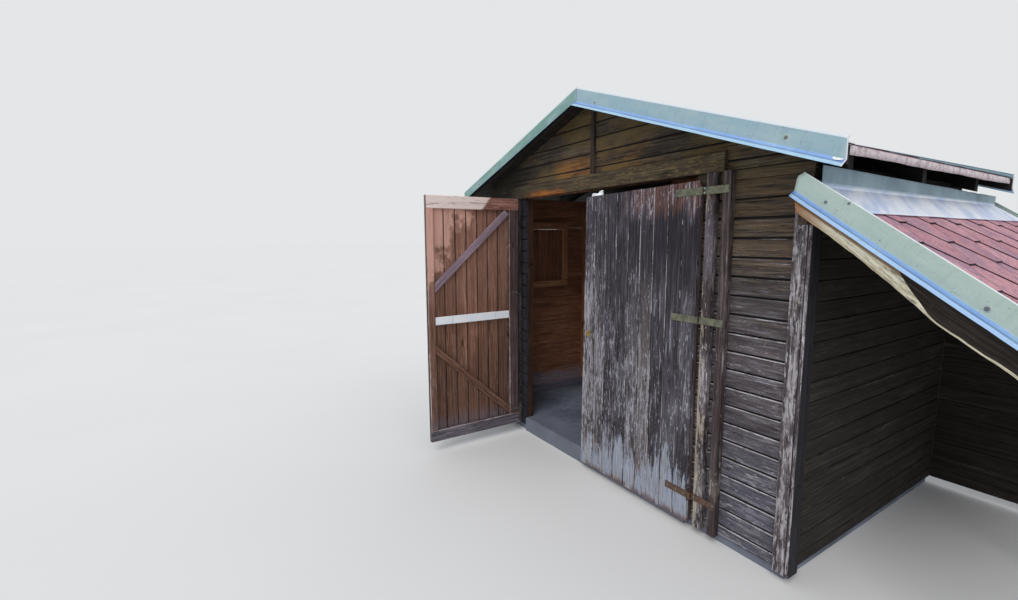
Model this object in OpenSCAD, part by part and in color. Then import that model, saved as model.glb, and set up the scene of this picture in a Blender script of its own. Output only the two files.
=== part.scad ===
// Wooden garden shed with a double door and a woodshed lean-to on its right side.
// Origin: underside of the floor, at the middle of the shed without its lean-to.
// +X is right as seen from the front, +Y is towards the back, +Z is up.

/* [Walls] */
// Width over the cladding of the side walls
shed_w = 2950; // [2600:10:3400]
// Depth over the cladding of the front and back walls
shed_d = 1900; // [1700:10:2600]
// Thickness of the horizontal cladding boards
clad_t = 22; // [18:1:28]
// Height of the lowest edge of the cladding above the ground
clad_low = 50; // [20:5:80]
// Section of the square posts inside the walls
stud = 60; // [50:1:80]
// Height of the sill beams on the floor
sill_h = 60; // [50:1:80]
// Height of the plates on top of the side walls
plate_h = 70; // [60:1:90]
// Width of the boards on the outer corners
corner_w = 66; // [50:1:90]
// Thickness of corner boards and gable strip
trim_board_t = 20; // [15:1:28]
// Width of the upright strip in the gable
strip_w = 36; // [25:1:60]

/* [Floor] */
// Thickness of the floor slab
floor_t = 122; // [90:1:160]
// Bevel along the top front edge of the slab
floor_bevel = 12; // [5:1:20]

/* [Doorway] */
// Half the clear width of the doorway between its posts
door_half = 858; // [800:1:900]
// Height of the underside of the board over the doors
head_z = 2078; // [2040:1:2100]
// Height of the board over the doors
head_h = 104; // [90:1:150]
// How far that board stands proud of the cladding
head_t = 30; // [20:1:36]
// Width of the upright that the hinges are fixed to
hang_w = 54; // [45:1:80]
// How far the hinge uprights and the outer casings stand proud
hang_t = 45; // [38:1:60]
// Width of the outer casing
casing_w = 48; // [35:1:70]
// Gap between the hinge upright and the outer casing
casing_gap = 42; // [20:1:80]

/* [Door leaves] */
// Distance of the right leaf's hinge edge from the middle
right_edge = 914; // [890:1:930]
// Distance of the left leaf's hinge edge from the middle
left_edge = 892; // [880:1:930]
// How far to the left of the middle the leaves meet at their feet
meet_x = 46; // [0:1:60]
// How much the free edge of the right leaf leans over towards its hinges
right_lean = 28; // [0:1:35]
// Half the gap between the closed leaves
leaf_gap = 4; // [4:1:8]
// Thickness of the upright boards of a leaf
leaf_board_t = 19; // [15:1:25]
// Thickness of the frame behind those boards
leaf_frame_t = 26; // [20:1:35]
// Gap between the back of a closed leaf and the wall
leaf_back_gap = 6; // [5:1:12]
// Lower edge of the right leaf, which has dropped
right_low = 52; // [40:1:90]
// Top of the right leaf at its hinges
right_top = 2044; // [2000:1:2060]
// How much lower its free corner sits
right_drop = 22; // [0:1:40]
// Lower edge of the left leaf
left_low = 96; // [60:1:110]
// Top of the left leaf
left_top = 2072; // [2010:1:2072]
// Width of the stile at a leaf's free edge
free_stile_w = 60; // [45:1:90]
// Width of the stile at a leaf's hinge edge
hinge_stile_w = 92; // [60:1:110]
// Height of the top rail
top_rail_h = 100; // [70:1:130]
// Height of the bottom rail
low_rail_h = 92; // [70:1:130]
// Height of the middle rail
mid_rail_h = 64; // [45:1:90]
// Height of the middle rail's centre above the ground
mid_rail_z = 1087; // [900:1:1200]
// Width of the diagonal braces
brace_w = 56; // [40:1:80]
// Height of the upper brace's foot on the free stile
brace_up_z = 1350; // [1200:5:1500]
// Height of the lower brace's head on the free stile
brace_down_z = 860; // [700:5:980]

/* [Hinges] */
// Heights of the hinges above the ground
hinge_low = 230; // [180:1:300]
// Height of the middle hinge
hinge_mid = 1274; // [1200:1:1400]
// Height of the upper hinge
hinge_top = 1984; // [1940:1:2000]
// Height of a hinge strap
strap_h = 40; // [30:1:50]
// Thickness of a hinge strap
strap_t = 4; // [3:1:6]
// Length of the strap on the leaf
strap_leaf = 158; // [120:1:220]
// Outer radius of a knuckle
knuckle_r = 8; // [7:0.5:10]
// Radius of the hinge pin
pin_r = 4; // [3:0.5:5]
// Radial clearance of the pin in the turning knuckle
pin_fit = 0.06; // [0.02:0.01:0.1]
// Distance from the leaf's edge to the pin
pin_gap = 18; // [14:1:24]

/* [Main roof] */
// Height of the metal trim at the ridge above the underside of the board over the doors
roof_rise = 667; // [600:1:800]
// Pitch of the right slope in degrees
pitch_right = 20.2; // [16:0.1:24]
// Pitch of the left slope in degrees
pitch_left = 18.4; // [16:0.1:24]
// Half the width of the roof from ridge to eave
roof_half = 1671; // [1600:1:1900]
// Overhang at the front and at the back
verge = 170; // [100:5:260]
// Thickness of the roof boards
deck_t = 20; // [16:1:26]
// Thickness of the shingles at a lower edge
shingle_t = 9; // [6:1:14]
// Visible length of one course of shingles
course = 145; // [120:1:180]
// Depth of the rafters
rafter_h = 92; // [80:1:120]
// Thickness of the rafters
rafter_t = 50; // [40:1:70]
// How far the rafter tails reach past the wall
tail = 95; // [60:1:140]
// Height of the ridge beam
ridge_h = 140; // [110:1:180]
// Distance of the back wall's inner posts from the middle
back_post_x = 500; // [350:10:700]
// Height of the barge boards behind the metal trim
barge_h = 72; // [50:1:74]
// Thickness of the barge boards
barge_t = 24; // [18:1:30]
// Width of the shingle strip over the ridge on each side
cap_w = 110; // [80:5:160]

/* [Metal trims] */
// Sheet thickness
sheet = 2; // [1.5:0.5:3]
// How far the trim stands above the shingles
trim_up = 24; // [10:1:35]
// Height of the trim's face
trim_face = 82; // [70:1:100]
// Forward reach of the drip edge
drip_out = 46; // [20:1:60]
// Fall of the drip edge
drip_down = 22; // [10:1:30]
// Width of the trim's flange on the roof
trim_flange = 60; // [40:1:90]

/* [Lean-to] */
// How far below the ridge its trim meets the shed wall
lean_drop = 710; // [690:1:780]
// Pitch of its roof in degrees
lean_pitch = 35.9; // [30:0.1:40]
// Reach of its roof from the shed wall
lean_w = 1122; // [900:1:1300]
// How far its trim stands in front of the front wall
lean_front = 163; // [120:1:220]
// How far its roof runs past the back wall
lean_back = 300; // [150:5:400]
// Depth of the waney front rafter at the wall
barge_low = 103; // [80:1:130]
// Depth of the waney front rafter where it is widest
barge_wide = 143; // [110:1:180]
// Thickness of the waney front rafter
lean_barge_t = 40; // [30:1:50]
// How far the beam and the ledger end inside the roof's back edge
lean_end_in = 60; // [40:1:90]
// Section of the posts
lean_post = 80; // [70:1:110]
// Distance of the posts' outer face from the roof's edge
lean_post_in = 70; // [60:1:130]
// Height of the eave beam
beam_h = 90; // [70:1:120]
// Height of the ledger on the shed wall
ledger_h = 90; // [70:1:120]
// Thickness of the ledger
ledger_t = 40; // [30:1:50]
// Distance of the flashing's upright from the shed wall
flash_out = 96; // [60:1:110]
// Height of the flashing's upright at the front
flash_h = 94; // [60:1:100]
// Height of the flashing's upright at the back
flash_back_h = 60; // [40:1:94]
// Width of the flashing on the shingles
flash_w = 196; // [80:1:240]

/* [Window shutter] */
// Clear width of the window
win_w = 470; // [350:5:600]
// Clear height of the window
win_h = 560; // [400:5:700]
// Height of the window's lower edge
win_z = 1290; // [1100:5:1400]
// Distance of the window's middle from the front wall
win_y = 640; // [500:5:900]
// Width of the window casing
win_casing = 55; // [40:1:80]

/* [Hidden] */

half = shed_w / 2;
wall_in = half - clad_t;
ridge_top = head_z + roof_rise;
lean_top = ridge_top - lean_drop;
big = 6000;
// Reach of pieces and cutters past the planes that trim them
cut_over = 200;
round_fn = 48;

// Roof levels: distances below the top of the metal trim, square to the roof
deck_top_v = -trim_up - shingle_t;
deck_low_v = deck_top_v - deck_t;
rafter_low_v = deck_low_v - rafter_h;
function pitch_of(side) = side > 0 ? pitch_right : pitch_left;
// Height of a level v of the roof at the distance x from the middle
function roof_z(side, x, v) = ridge_top - x * tan(pitch_of(side)) + v / cos(pitch_of(side));
function lean_z(x, v) = lean_top - (x - half) * tan(lean_pitch) + v / cos(lean_pitch);

// Everything is set out from the face of the front wall
module set_out() {
    translate([0, -shed_d / 2, 0]) children();
}

// Roof pieces lie in slope axes: x down the slope from the ridge, z square to the roof
module on_slope(side) {
    if (side > 0) {
        translate([0, 0, ridge_top]) rotate([0, pitch_right, 0]) children();
    } else {
        mirror([1, 0, 0]) translate([0, 0, ridge_top]) rotate([0, pitch_left, 0]) children();
    }
}

module on_lean() {
    translate([half, 0, lean_top]) rotate([0, lean_pitch, 0]) children();
}

// Keeps what lies on one side of the ridge, from the distance start to the distance reach
module roof_half_of(side, reach, start = 0) {
    intersection() {
        on_slope(side) children();
        translate([side > 0 ? start : -reach, -big / 2, 0]) cube([reach - start, 2 * big, big]);
    }
}

module roof_slab(side, v_low, thick, y_front, y_back, reach, start = 0) {
    roof_half_of(side, reach, start)
        translate([-cut_over, y_front, v_low])
            cube([reach / cos(pitch_of(side)) + 2 * cut_over, y_back - y_front, thick]);
}

// A profile drawn in y and z is drawn out along x
module along_x(length) {
    rotate([90, 0, 90]) linear_extrude(length) children();
}

// A profile drawn in x and z is drawn out from y0 to y1
module along_y(y0, y1) {
    translate([0, y1, 0]) rotate([90, 0, 0]) linear_extrude(y1 - y0) children();
}

function unit(a) = a / norm(a);
function left_of(a) = [-a[1], a[0]];
// Corner of a bent sheet at point i, moved sideways by d
function bend(path, i, d) =
    let (n = len(path),
         a = i > 0 ? unit(path[i] - path[i - 1]) : unit(path[1] - path[0]),
         b = i < n - 1 ? unit(path[i + 1] - path[i]) : a,
         m = unit(left_of(a) + left_of(b)))
    path[i] + m * d / (m * left_of(a));
module bent_sheet(path, thick) {
    n = len(path);
    polygon(concat([for (i = [0:n - 1]) bend(path, i, thick)], [for (i = [n - 1:-1:0]) path[i]]));
}

// Metal verge trim in y and v: drip edge, face, hem on top, and the flange on the roof
module trim_profile() {
    hem = 7;
    bent_sheet([[-drip_out, -trim_face - drip_down], [0, -trim_face], [0, 0]], -sheet);
    translate([-hem, -sheet]) square([hem, sheet]);
    translate([0, -trim_up]) square([trim_flange, sheet]);
}

module floor() color("#8f9496") set_out() {
    front = 0;
    difference() {
        union() {
            translate([-wall_in, clad_t, 0]) cube([2 * wall_in, shed_d - 2 * clad_t, floor_t]);
            translate([-door_half, front, 0]) cube([2 * door_half, clad_t + 10, floor_t]);
        }
        translate([0, front, floor_t]) rotate([45, 0, 0])
            cube([shed_w, floor_bevel, floor_bevel], center = true);
    }
}

module sill_beams() color("#5d4632") set_out() {
    z = floor_t;
    for (s = [-1, 1]) {
        translate([s > 0 ? wall_in - stud : -wall_in, clad_t, z])
            cube([stud, shed_d - 2 * clad_t, sill_h]);
        translate([s > 0 ? door_half + stud : -wall_in + stud, clad_t, z])
            cube([wall_in - 2 * stud - door_half, stud, sill_h]);
    }
    translate([-wall_in + stud, shed_d - clad_t - stud, z]) cube([2 * wall_in - 2 * stud, stud, sill_h]);
}

// Height of the top of a side wall's plate, under the notched rafters
function plate_top(side) = roof_z(side, wall_in, rafter_low_v) + 18;

post_rows = [clad_t, shed_d * 0.62 - stud / 2, shed_d - clad_t - stud];
module wall_posts() color("#6b4e33") set_out() {
    z = floor_t + sill_h;
    for (s = [-1, 1])
        for (y = post_rows)
            translate([s > 0 ? wall_in - stud : -wall_in, y, z])
                cube([stud, stud, plate_top(s) - plate_h - z]);
    for (x = [-back_post_x, back_post_x])
        translate([x - stud / 2, shed_d - clad_t - stud, z])
            cube([stud, stud, roof_z(x > 0 ? 1 : -1, abs(x) + stud, rafter_low_v) - z]);
}

module wall_plates() color("#6b4e33") set_out() wall_plates_shape();
module wall_plates_shape() {
    for (s = [-1, 1])
        translate([s > 0 ? wall_in - stud : -wall_in, clad_t, plate_top(s) - plate_h])
            cube([stud, shed_d - 2 * clad_t, plate_h]);
}

module door_posts() color("#5a4331") set_out() {
    for (s = [-1, 1])
        translate([s > 0 ? door_half : -door_half - stud, clad_t, floor_t])
            cube([stud, stud, head_z - floor_t]);
}

// The header ends just under the roof boards where it meets the side walls
header_top = roof_z(1, wall_in - stud, deck_low_v) - 18;
module door_header() color("#5a4331") set_out() {
    translate([-wall_in + stud, clad_t, head_z]) cube([2 * (wall_in - stud), stud, header_top - head_z]);
}

module front_side(s) {
    top = head_z;
    translate([s > 0 ? door_half : -half, 0, clad_low]) cube([half - door_half, clad_t, top - clad_low]);
}
module front_wall_left() color("#4a3f36") set_out() front_side(-1);
module front_wall_right() color("#4a3f36") set_out() front_side(1);

// Outline of a gable from height z up to the underside of the roof boards
module gable_shape(z) {
    gap = 1;
    polygon([
        [-half, z], [half, z], [half, roof_z(1, half, deck_low_v) - gap],
        [0, roof_z(1, 0, deck_low_v) - gap], [-half, roof_z(-1, half, deck_low_v) - gap]
    ]);
}
module gable_wall(z) {
    translate([0, clad_t, 0]) rotate([90, 0, 0]) linear_extrude(clad_t) gable_shape(z);
}
module front_gable() color("#52432f") set_out() gable_wall(head_z);
module back_wall() color("#4a3f36") set_out() translate([0, shed_d - clad_t, 0]) gable_wall(clad_low);

module side_board(s) {
    translate([s > 0 ? wall_in : -half, clad_t, clad_low])
        cube([clad_t, shed_d - 2 * clad_t, roof_z(s, half, rafter_low_v) - clad_low]);
}
module left_wall() color("#4a3f36") set_out() difference() {
    side_board(-1);
    translate([-half - 10, win_y - win_w / 2, win_z]) cube([clad_t + 20, win_w, win_h]);
}
module right_wall() color("#3d3128") set_out() side_board(1);

// Boards at the corners: one on the front or back wall, one on the side wall
corner_low = clad_low - 5;
module corner_face(sx, sy, top) {
    translate([sx > 0 ? half - corner_w : -half, sy < 0 ? -trim_board_t : shed_d, corner_low])
        cube([corner_w, trim_board_t, top - corner_low]);
}
module corner_side(sx, sy, top) {
    translate([sx > 0 ? half : -half - trim_board_t, sy < 0 ? -trim_board_t : shed_d - corner_w, corner_low])
        cube([trim_board_t, corner_w + trim_board_t, top - corner_low]);
}
module corner_boards() color("#6f6660") set_out() {
    left_end = roof_z(-1, half + trim_board_t, rafter_low_v) - 4;
    for (sy = [-1, 1]) {
        corner_face(-1, sy, left_end);
        corner_side(-1, sy, left_end);
        corner_face(1, sy, lean_z(half, deck_low_v - 60));
    }
    corner_side(1, -1, ledger_top - ledger_h);
}

head_half = right_edge + 2 * pin_gap + hang_w + casing_gap - 6;
module head_board() color("#5b4c38") set_out() {
    translate([-head_half, -head_t, head_z]) cube([2 * head_half, head_t, head_h]);
}

module gable_strip() color("#4b4038") set_out() {
    z = head_z + head_h;
    translate([-strip_w / 2, -trim_board_t, z])
        cube([strip_w, trim_board_t, roof_z(1, strip_w / 2, deck_low_v) - 1 - z]);
}

function leaf_edge(s) = s > 0 ? right_edge : left_edge;
function pin_x(s) = leaf_edge(s) + pin_gap;
function hang_x(s) = pin_x(s) + pin_gap;
function casing_x(s) = hang_x(s) + hang_w + casing_gap;
// Draws on the right side, or mirrored on the left side
module on_side(s) {
    mirror([s > 0 ? 0 : 1, 0, 0]) children();
}
module hinge_uprights() color("#6a5a55") set_out() {
    for (s = [-1, 1])
        on_side(s) translate([hang_x(s), -hang_t, clad_low]) cube([hang_w, hang_t, head_z - clad_low]);
}
module door_casings() color("#5b5350") set_out() {
    for (s = [-1, 1])
        on_side(s) translate([casing_x(s), -hang_t, clad_low]) cube([casing_w, hang_t, head_z - clad_low]);
}

// Frame round the window inside the left wall, and the board panel that closes it
module window_frame() color("#7a5636") set_out() {
    depth = 30;
    translate([-wall_in, win_y, win_z + win_h / 2]) rotate([90, 0, 90]) linear_extrude(depth)
        difference() {
            square([win_w + 2 * win_casing, win_h + 2 * win_casing], center = true);
            square([win_w - 20, win_h - 20], center = true);
        }
}
module window_shutter() color("#5f4a33") set_out() {
    margin = 60;
    translate([-half - trim_board_t, win_y - win_w / 2 - margin, win_z - margin])
        cube([trim_board_t, win_w + 2 * margin, win_h + 2 * margin]);
}

module ridge_beam() color("#6b4e33") set_out() ridge_beam_shape();
module ridge_beam_shape() {
    beam_w = 60;
    beam_top = roof_z(1, beam_w / 2, deck_low_v);
    translate([-beam_w / 2, clad_t, beam_top - ridge_h])
        cube([beam_w, shed_d - 2 * clad_t, ridge_h - 1]);
}

rafter_rows = [clad_t + stud + rafter_t / 2, shed_d / 2, shed_d - clad_t - stud - rafter_t / 2];
module rafters() color("#6b4e33") set_out() rafters_shape();
module rafters_shape() {
    reach = half + tail;
    difference() {
        for (s = [-1, 1])
            for (y = rafter_rows)
                roof_slab(s, rafter_low_v, rafter_h, y - rafter_t / 2, y + rafter_t / 2, reach);
        wall_plates_shape();
        ridge_beam_shape();
        translate([-15, -big / 2, 0]) cube([30, 2 * big, big]);
    }
}

// The timber of the roof ends behind the metal trims
roof_front = -verge + sheet;
roof_back = shed_d + verge - sheet;
module deck_of(side) {
    roof_slab(side, deck_low_v, deck_t, roof_front + barge_t, roof_back - barge_t, roof_half);
}
module roof_deck_left() color("#5a4634") set_out() deck_of(-1);
module roof_deck_right() color("#5a4634") set_out() deck_of(1);

// Overlapping courses: each is thick at its lower edge and thin under the next one
module course_profile(length, pitch_len) {
    thin = 3;
    count = ceil(length / pitch_len);
    points = concat(
        [[length, 0], [0, 0]],
        [for (i = [count:-1:1], k = [0, 1])
            let (x = length - (i - k) * pitch_len) [max(0, x), k == 0 ? thin : shingle_t]]);
    polygon(points);
}
module course_slab(length, width) {
    translate([0, width, 0]) rotate([90, 0, 0]) linear_extrude(width) course_profile(length, course);
}
module shingles_of(side) {
    edge = 8;
    roof_half_of(side, roof_half + edge)
        translate([0, roof_front, deck_top_v])
            course_slab((roof_half + edge) / cos(pitch_of(side)), roof_back - roof_front);
}
module shingles_left() color("#7c4a44") set_out() shingles_of(-1);
module shingles_right() color("#7c4a44") set_out() shingles_of(1);

// Strip of shingles folded over the ridge
module ridge_cap() color("#7c4a44") set_out() {
    cap_t = 8;
    end_in = trim_flange + 2;
    along_y(end_in - verge, shed_d + verge - end_in)
        polygon([
            [-cap_w, roof_z(-1, cap_w, -trim_up)], [0, roof_z(-1, 0, -trim_up)],
            [cap_w, roof_z(1, cap_w, -trim_up)], [cap_w, roof_z(1, cap_w, cap_t - trim_up)],
            [0, roof_z(-1, 0, cap_t - trim_up)], [-cap_w, roof_z(-1, cap_w, cap_t - trim_up)]
        ]);
}

// Boards and trims of the two slopes butt at the ridge
ridge_joint = 0.3;
module barge_of(y) {
    for (s = [-1, 1])
        roof_slab(s, deck_top_v - barge_h, barge_h, y, y + barge_t, roof_half, ridge_joint);
}
module barge_boards() color("#4d443c") set_out() {
    barge_of(roof_front);
    barge_of(roof_back - barge_t);
}

module trim_pair() {
    for (s = [-1, 1])
        roof_half_of(s, roof_half + 4, ridge_joint)
            translate([-cut_over, 0, 0]) along_x(roof_half / cos(pitch_of(s)) + 2 * cut_over) trim_profile();
}
module front_verge_trim() color("#a9b9b2") set_out() translate([0, -verge, 0]) trim_pair();
module back_verge_trim() color("#a9b9b2") set_out()
    translate([0, shed_d + verge, 0]) mirror([0, 1, 0]) trim_pair();

lean_y0 = -lean_front;
lean_y1 = shed_d + lean_back;
// The timber of the lean-to's roof ends behind the metal trims
lean_in0 = lean_y0 + sheet;
lean_in1 = lean_y1 - sheet;
lean_len = lean_w / cos(lean_pitch);
rail_y0 = lean_in0 + lean_barge_t;
rail_y1 = lean_y1 - lean_end_in;
ledger_top = lean_z(half, rafter_low_v) + 20;
// Sloping faces of the lean-to lie on each other with this gap
slope_gap = 0.1;
barge_top_v = deck_low_v - slope_gap;
module ledger_section() {
    translate([half, ledger_top - ledger_h]) square([ledger_t, ledger_h]);
}
module lean_ledger() color("#5d4632") set_out() along_y(rail_y0, rail_y1) ledger_section();

beam_x = half + lean_w - lean_post_in - lean_post;
beam_top = lean_z(beam_x, rafter_low_v);
module beam_section() {
    translate([beam_x, beam_top - beam_h]) square([lean_post, beam_h]);
}
module lean_beam() color("#5d4632") set_out() along_y(rail_y0, rail_y1) beam_section();

lean_rows = [shed_d * 0.3, shed_d * 0.72, rail_y1 - rafter_t];
module lean_rafters() color("#5d4632") set_out()
    for (y = lean_rows) along_y(y, y + rafter_t)
        let (out = half + ledger_t, seat = beam_x + lean_post, end = half + lean_w - 16)
            polygon([
                [half, lean_z(half, deck_low_v)], [half, ledger_top], [out, ledger_top],
                [out, lean_z(out, rafter_low_v)], [beam_x, beam_top], [seat, beam_top],
                [seat, lean_z(seat, rafter_low_v)], [end, lean_z(end, rafter_low_v)],
                [end, lean_z(end, deck_low_v)]
            ]);

// Lower edge of the waney rafter: narrow at the wall, then wider in one smooth wave
waney_from = 430;
waney_run = 190;
function waney(s) =
    let (t = min(1, max(0, (s - waney_from) / waney_run)))
    deck_low_v - barge_low - (barge_wide - barge_low) * (t * t * (3 - 2 * t)) - 3 * sin(s * 0.9);
module right_of_shed() {
    intersection() {
        children();
        translate([half, -big / 2, 0]) cube([big, 2 * big, big]);
    }
}
module lean_barge_rafter() color("#8d8367") set_out() right_of_shed()
    on_lean() along_y(lean_in0, rail_y0) let (end = lean_len - 20)
        polygon(concat(
            [[-cut_over, barge_top_v], [-cut_over, deck_low_v - barge_low]],
            [for (s = [0:47.5:end]) [s, waney(s)]],
            [[end, waney(end)], [end, barge_top_v]]));

module lean_posts() color("#6a4f38") set_out() {
    last = shed_d - clad_t - lean_post;
    for (y = [rail_y0 + 20, last / 2, last])
        translate([beam_x, y, 0]) cube([lean_post, lean_post, beam_top - beam_h]);
}

// Boards that close the lean-to at the back, cut out round the ledger and the beam
module lean_back_wall() color("#3d3128") set_out() {
    out = beam_x + lean_post;
    along_y(shed_d - clad_t, shed_d) difference() {
        polygon([
            [half, clad_low], [out, clad_low],
            [out, lean_z(out, deck_low_v) - 1], [half, lean_z(half, deck_low_v) - 1]
        ]);
        ledger_section();
        beam_section();
    }
}

module lean_deck() color("#5a4634") set_out()
    along_y(lean_in0, lean_in1) let (end = half + lean_w)
        polygon([
            [half, lean_z(half, deck_low_v)], [end, lean_z(end, deck_low_v)],
            [end, lean_z(end, deck_top_v - slope_gap)], [half, lean_z(half, deck_top_v - slope_gap)]
        ]);

module lean_shingles() color("#9b6660") set_out() right_of_shed()
    on_lean() translate([-40, lean_in0, deck_top_v]) course_slab(lean_len + 48, lean_in1 - lean_in0);

module lean_trim_run() {
    right_of_shed() on_lean() translate([-cut_over, 0, 0]) along_x(lean_len + cut_over + 4) trim_profile();
}
module lean_front_trim() color("#b4c4b4") set_out() translate([0, lean_y0, 0]) lean_trim_run();
module lean_back_trim() color("#b4c4b4") set_out()
    translate([0, lean_y1, 0]) mirror([0, 1, 0]) lean_trim_run();

// Flashing bent from one sheet: an upright near the wall and a wide apron on the shingles
module apron_flashing() color("#b9c6cb") set_out() {
    x = half + flash_out;
    y0 = lean_y0 + trim_flange + 10;
    y1 = lean_y1 - trim_flange - 10;
    z = lean_z(x, -trim_up);
    difference() {
        translate([0, y1, 0]) rotate([90, 0, 0]) linear_extrude(y1 - y0)
            bent_sheet([
                [x, z + flash_h], [x, z + 1],
                [x + flash_w * cos(lean_pitch), z + 1 - flash_w * sin(lean_pitch)]], sheet);
        // The upright's top edge falls towards the back
        translate([x - cut_over, y0, z + flash_h]) rotate([-atan((flash_h - flash_back_h) / (y1 - y0)), 0, 0])
            cube([2 * cut_over, big, cut_over]);
    }
}

hinge_rows = [hinge_low, hinge_mid, hinge_top];
face_y = -leaf_back_gap - leaf_frame_t - leaf_board_t;
pin_y = face_y - 7;
knuckle_gap = 0.5;
mid_knuckle = strap_h / 2 - knuckle_gap;

// The hinge halves, drawn for the right side with the pin on x = 0 and the hinge centred on z = 0
module upright_half() {
    plate = pin_gap + hang_w + casing_gap + casing_w - 6;
    difference() {
        translate([0, -hang_t - strap_t, -strap_h / 2]) cube([plate, strap_t, strap_h]);
        translate([-knuckle_r - 2, -hang_t - strap_t - 20, -strap_h / 4])
            cube([2 * knuckle_r + 4, 40, strap_h / 2]);
    }
    for (z = [-strap_h / 2, strap_h / 4]) {
        translate([0, pin_y, z]) cylinder(r = knuckle_r, h = strap_h / 4, $fn = round_fn);
        translate([0, pin_y, z]) cube([knuckle_r, -hang_t - pin_y, strap_h / 4]);
    }
    translate([0, pin_y, -strap_h / 2]) cylinder(r = pin_r, h = strap_h, $fn = round_fn);
}
module leaf_half() {
    clear = 1.5;
    difference() {
        union() {
            translate([-pin_gap - strap_leaf, face_y - strap_t, -strap_h / 2])
                cube([strap_leaf + pin_gap - knuckle_r - clear, strap_t, strap_h]);
            translate([-pin_gap, face_y - strap_t, -mid_knuckle / 2])
                cube([pin_gap, strap_t, mid_knuckle]);
            translate([0, pin_y, -mid_knuckle / 2])
                cylinder(r = knuckle_r, h = mid_knuckle, $fn = round_fn);
        }
        translate([0, pin_y, -strap_h]) cylinder(r = pin_r + pin_fit, h = 2 * strap_h, $fn = round_fn);
    }
}
module upright_hinges() color("#66695a") set_out() {
    for (s = [-1, 1]) on_side(s)
        for (z = hinge_rows) translate([pin_x(s), 0, z]) upright_half();
}
module leaf_hinges(s) {
    for (z = hinge_rows) translate([pin_x(s), 0, z]) leaf_half();
}

// A leaf is drawn closed on the right; the left one is its mirror image, opened square
module left_open() {
    pin = pin_x(-1);
    translate([-pin, pin_y, 0]) rotate([0, 0, -90]) translate([pin, -pin_y, 0]) on_side(-1) children();
}

// Each leaf: foot and top of its free edge, hinge edge, lower edge, top, and how far the free corner drops
right_leaf = [leaf_gap - meet_x, leaf_gap - meet_x + right_lean, right_edge, right_low, right_top, right_drop];
left_leaf = [leaf_gap + meet_x, leaf_gap + meet_x, left_edge, left_low, left_top, 0];

// Outline of a leaf in x and z, and the opening inside its frame
module leaf_outline(leaf) {
    polygon([[leaf[0], leaf[3]], [leaf[2], leaf[3]], [leaf[2], leaf[4]], [leaf[1], leaf[4] - leaf[5]]]);
}
module leaf_panel(leaf) {
    out = leaf[2] - hinge_stile_w;
    top = leaf[4] - leaf[5] - top_rail_h;
    polygon([
        [leaf[0] + free_stile_w, leaf[3] + low_rail_h], [out, leaf[3] + low_rail_h],
        [out, top], [leaf[1] + free_stile_w, top]
    ]);
}
module leaf_boards(leaf) {
    translate([0, face_y + leaf_board_t, 0]) rotate([90, 0, 0]) linear_extrude(leaf_board_t)
        leaf_outline(leaf);
}
// Bar between two points of the leaf, in x and z, long enough to pass both stiles
module brace_shape(a, b) {
    run = norm(b - a);
    translate(a) rotate(atan2(b[1] - a[1], b[0] - a[0])) translate([-cut_over, -brace_w / 2])
        square([run + 2 * cut_over, brace_w]);
}
module leaf_frame(leaf, with_mid) {
    in0 = leaf[0] + free_stile_w;
    in1 = leaf[2] - hinge_stile_w;
    brace_top = leaf[4] - leaf[5] - top_rail_h;
    brace_foot = leaf[3] + low_rail_h + 40;
    translate([0, face_y + leaf_board_t + leaf_frame_t, 0]) rotate([90, 0, 0]) linear_extrude(leaf_frame_t) {
        difference() {
            leaf_outline(leaf);
            leaf_panel(leaf);
        }
        intersection() {
            leaf_panel(leaf);
            union() {
                brace_shape([in0, brace_up_z], [in1, brace_top]);
                brace_shape([in0, brace_down_z], [in1, brace_foot]);
                if (with_mid) translate([0, mid_rail_z - mid_rail_h / 2]) square([in1, mid_rail_h]);
            }
        }
    }
}

module right_leaf_boards() color("#5d5358") set_out() leaf_boards(right_leaf);
module right_leaf_frame() color("#6b4a38") set_out() leaf_frame(right_leaf, true);
module right_leaf_hinges() color("#66695a") set_out() leaf_hinges(1);
module lock_rose() color("#b79a4a") set_out() {
    x = 28;
    z = 1052;
    difference() {
        translate([x, face_y, z]) rotate([90, 0, 0]) cylinder(r = 22, h = 5, $fn = round_fn);
        translate([x, face_y + 1, z]) rotate([90, 0, 0]) cylinder(r = 8, h = 10, $fn = round_fn);
    }
}

module left_leaf_boards() color("#6b4536") set_out() left_open() leaf_boards(left_leaf);
module left_leaf_frame() color("#7a4c38") set_out() left_open() leaf_frame(left_leaf, false);
module left_leaf_rail() color("#e3e4e6") set_out() left_open()
    let (in0 = left_leaf[0] + free_stile_w, in1 = left_leaf[2] - hinge_stile_w)
    translate([in0, face_y + leaf_board_t, mid_rail_z - mid_rail_h / 2])
        cube([in1 - in0, leaf_frame_t, mid_rail_h]);
module left_leaf_hinges() color("#66695a") set_out() left_open() leaf_hinges(-1);

floor();
sill_beams();
wall_posts();
wall_plates();
door_posts();
door_header();
front_wall_left();
front_wall_right();
front_gable();
left_wall();
right_wall();
back_wall();
corner_boards();
head_board();
gable_strip();
hinge_uprights();
door_casings();
window_frame();
window_shutter();
ridge_beam();
rafters();
roof_deck_left();
roof_deck_right();
shingles_left();
shingles_right();
ridge_cap();
barge_boards();
front_verge_trim();
back_verge_trim();
lean_ledger();
lean_rafters();
lean_barge_rafter();
lean_beam();
lean_posts();
lean_back_wall();
lean_deck();
lean_shingles();
lean_front_trim();
lean_back_trim();
apron_flashing();
upright_hinges();
right_leaf_boards();
right_leaf_frame();
right_leaf_hinges();
lock_rose();
left_leaf_boards();
left_leaf_frame();
left_leaf_rail();
left_leaf_hinges();
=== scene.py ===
# Visual model of the wooden garden shed with its double door and woodshed lean-to.
import bpy
import math
import random
from types import SimpleNamespace
from mathutils import Matrix, Vector


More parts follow.
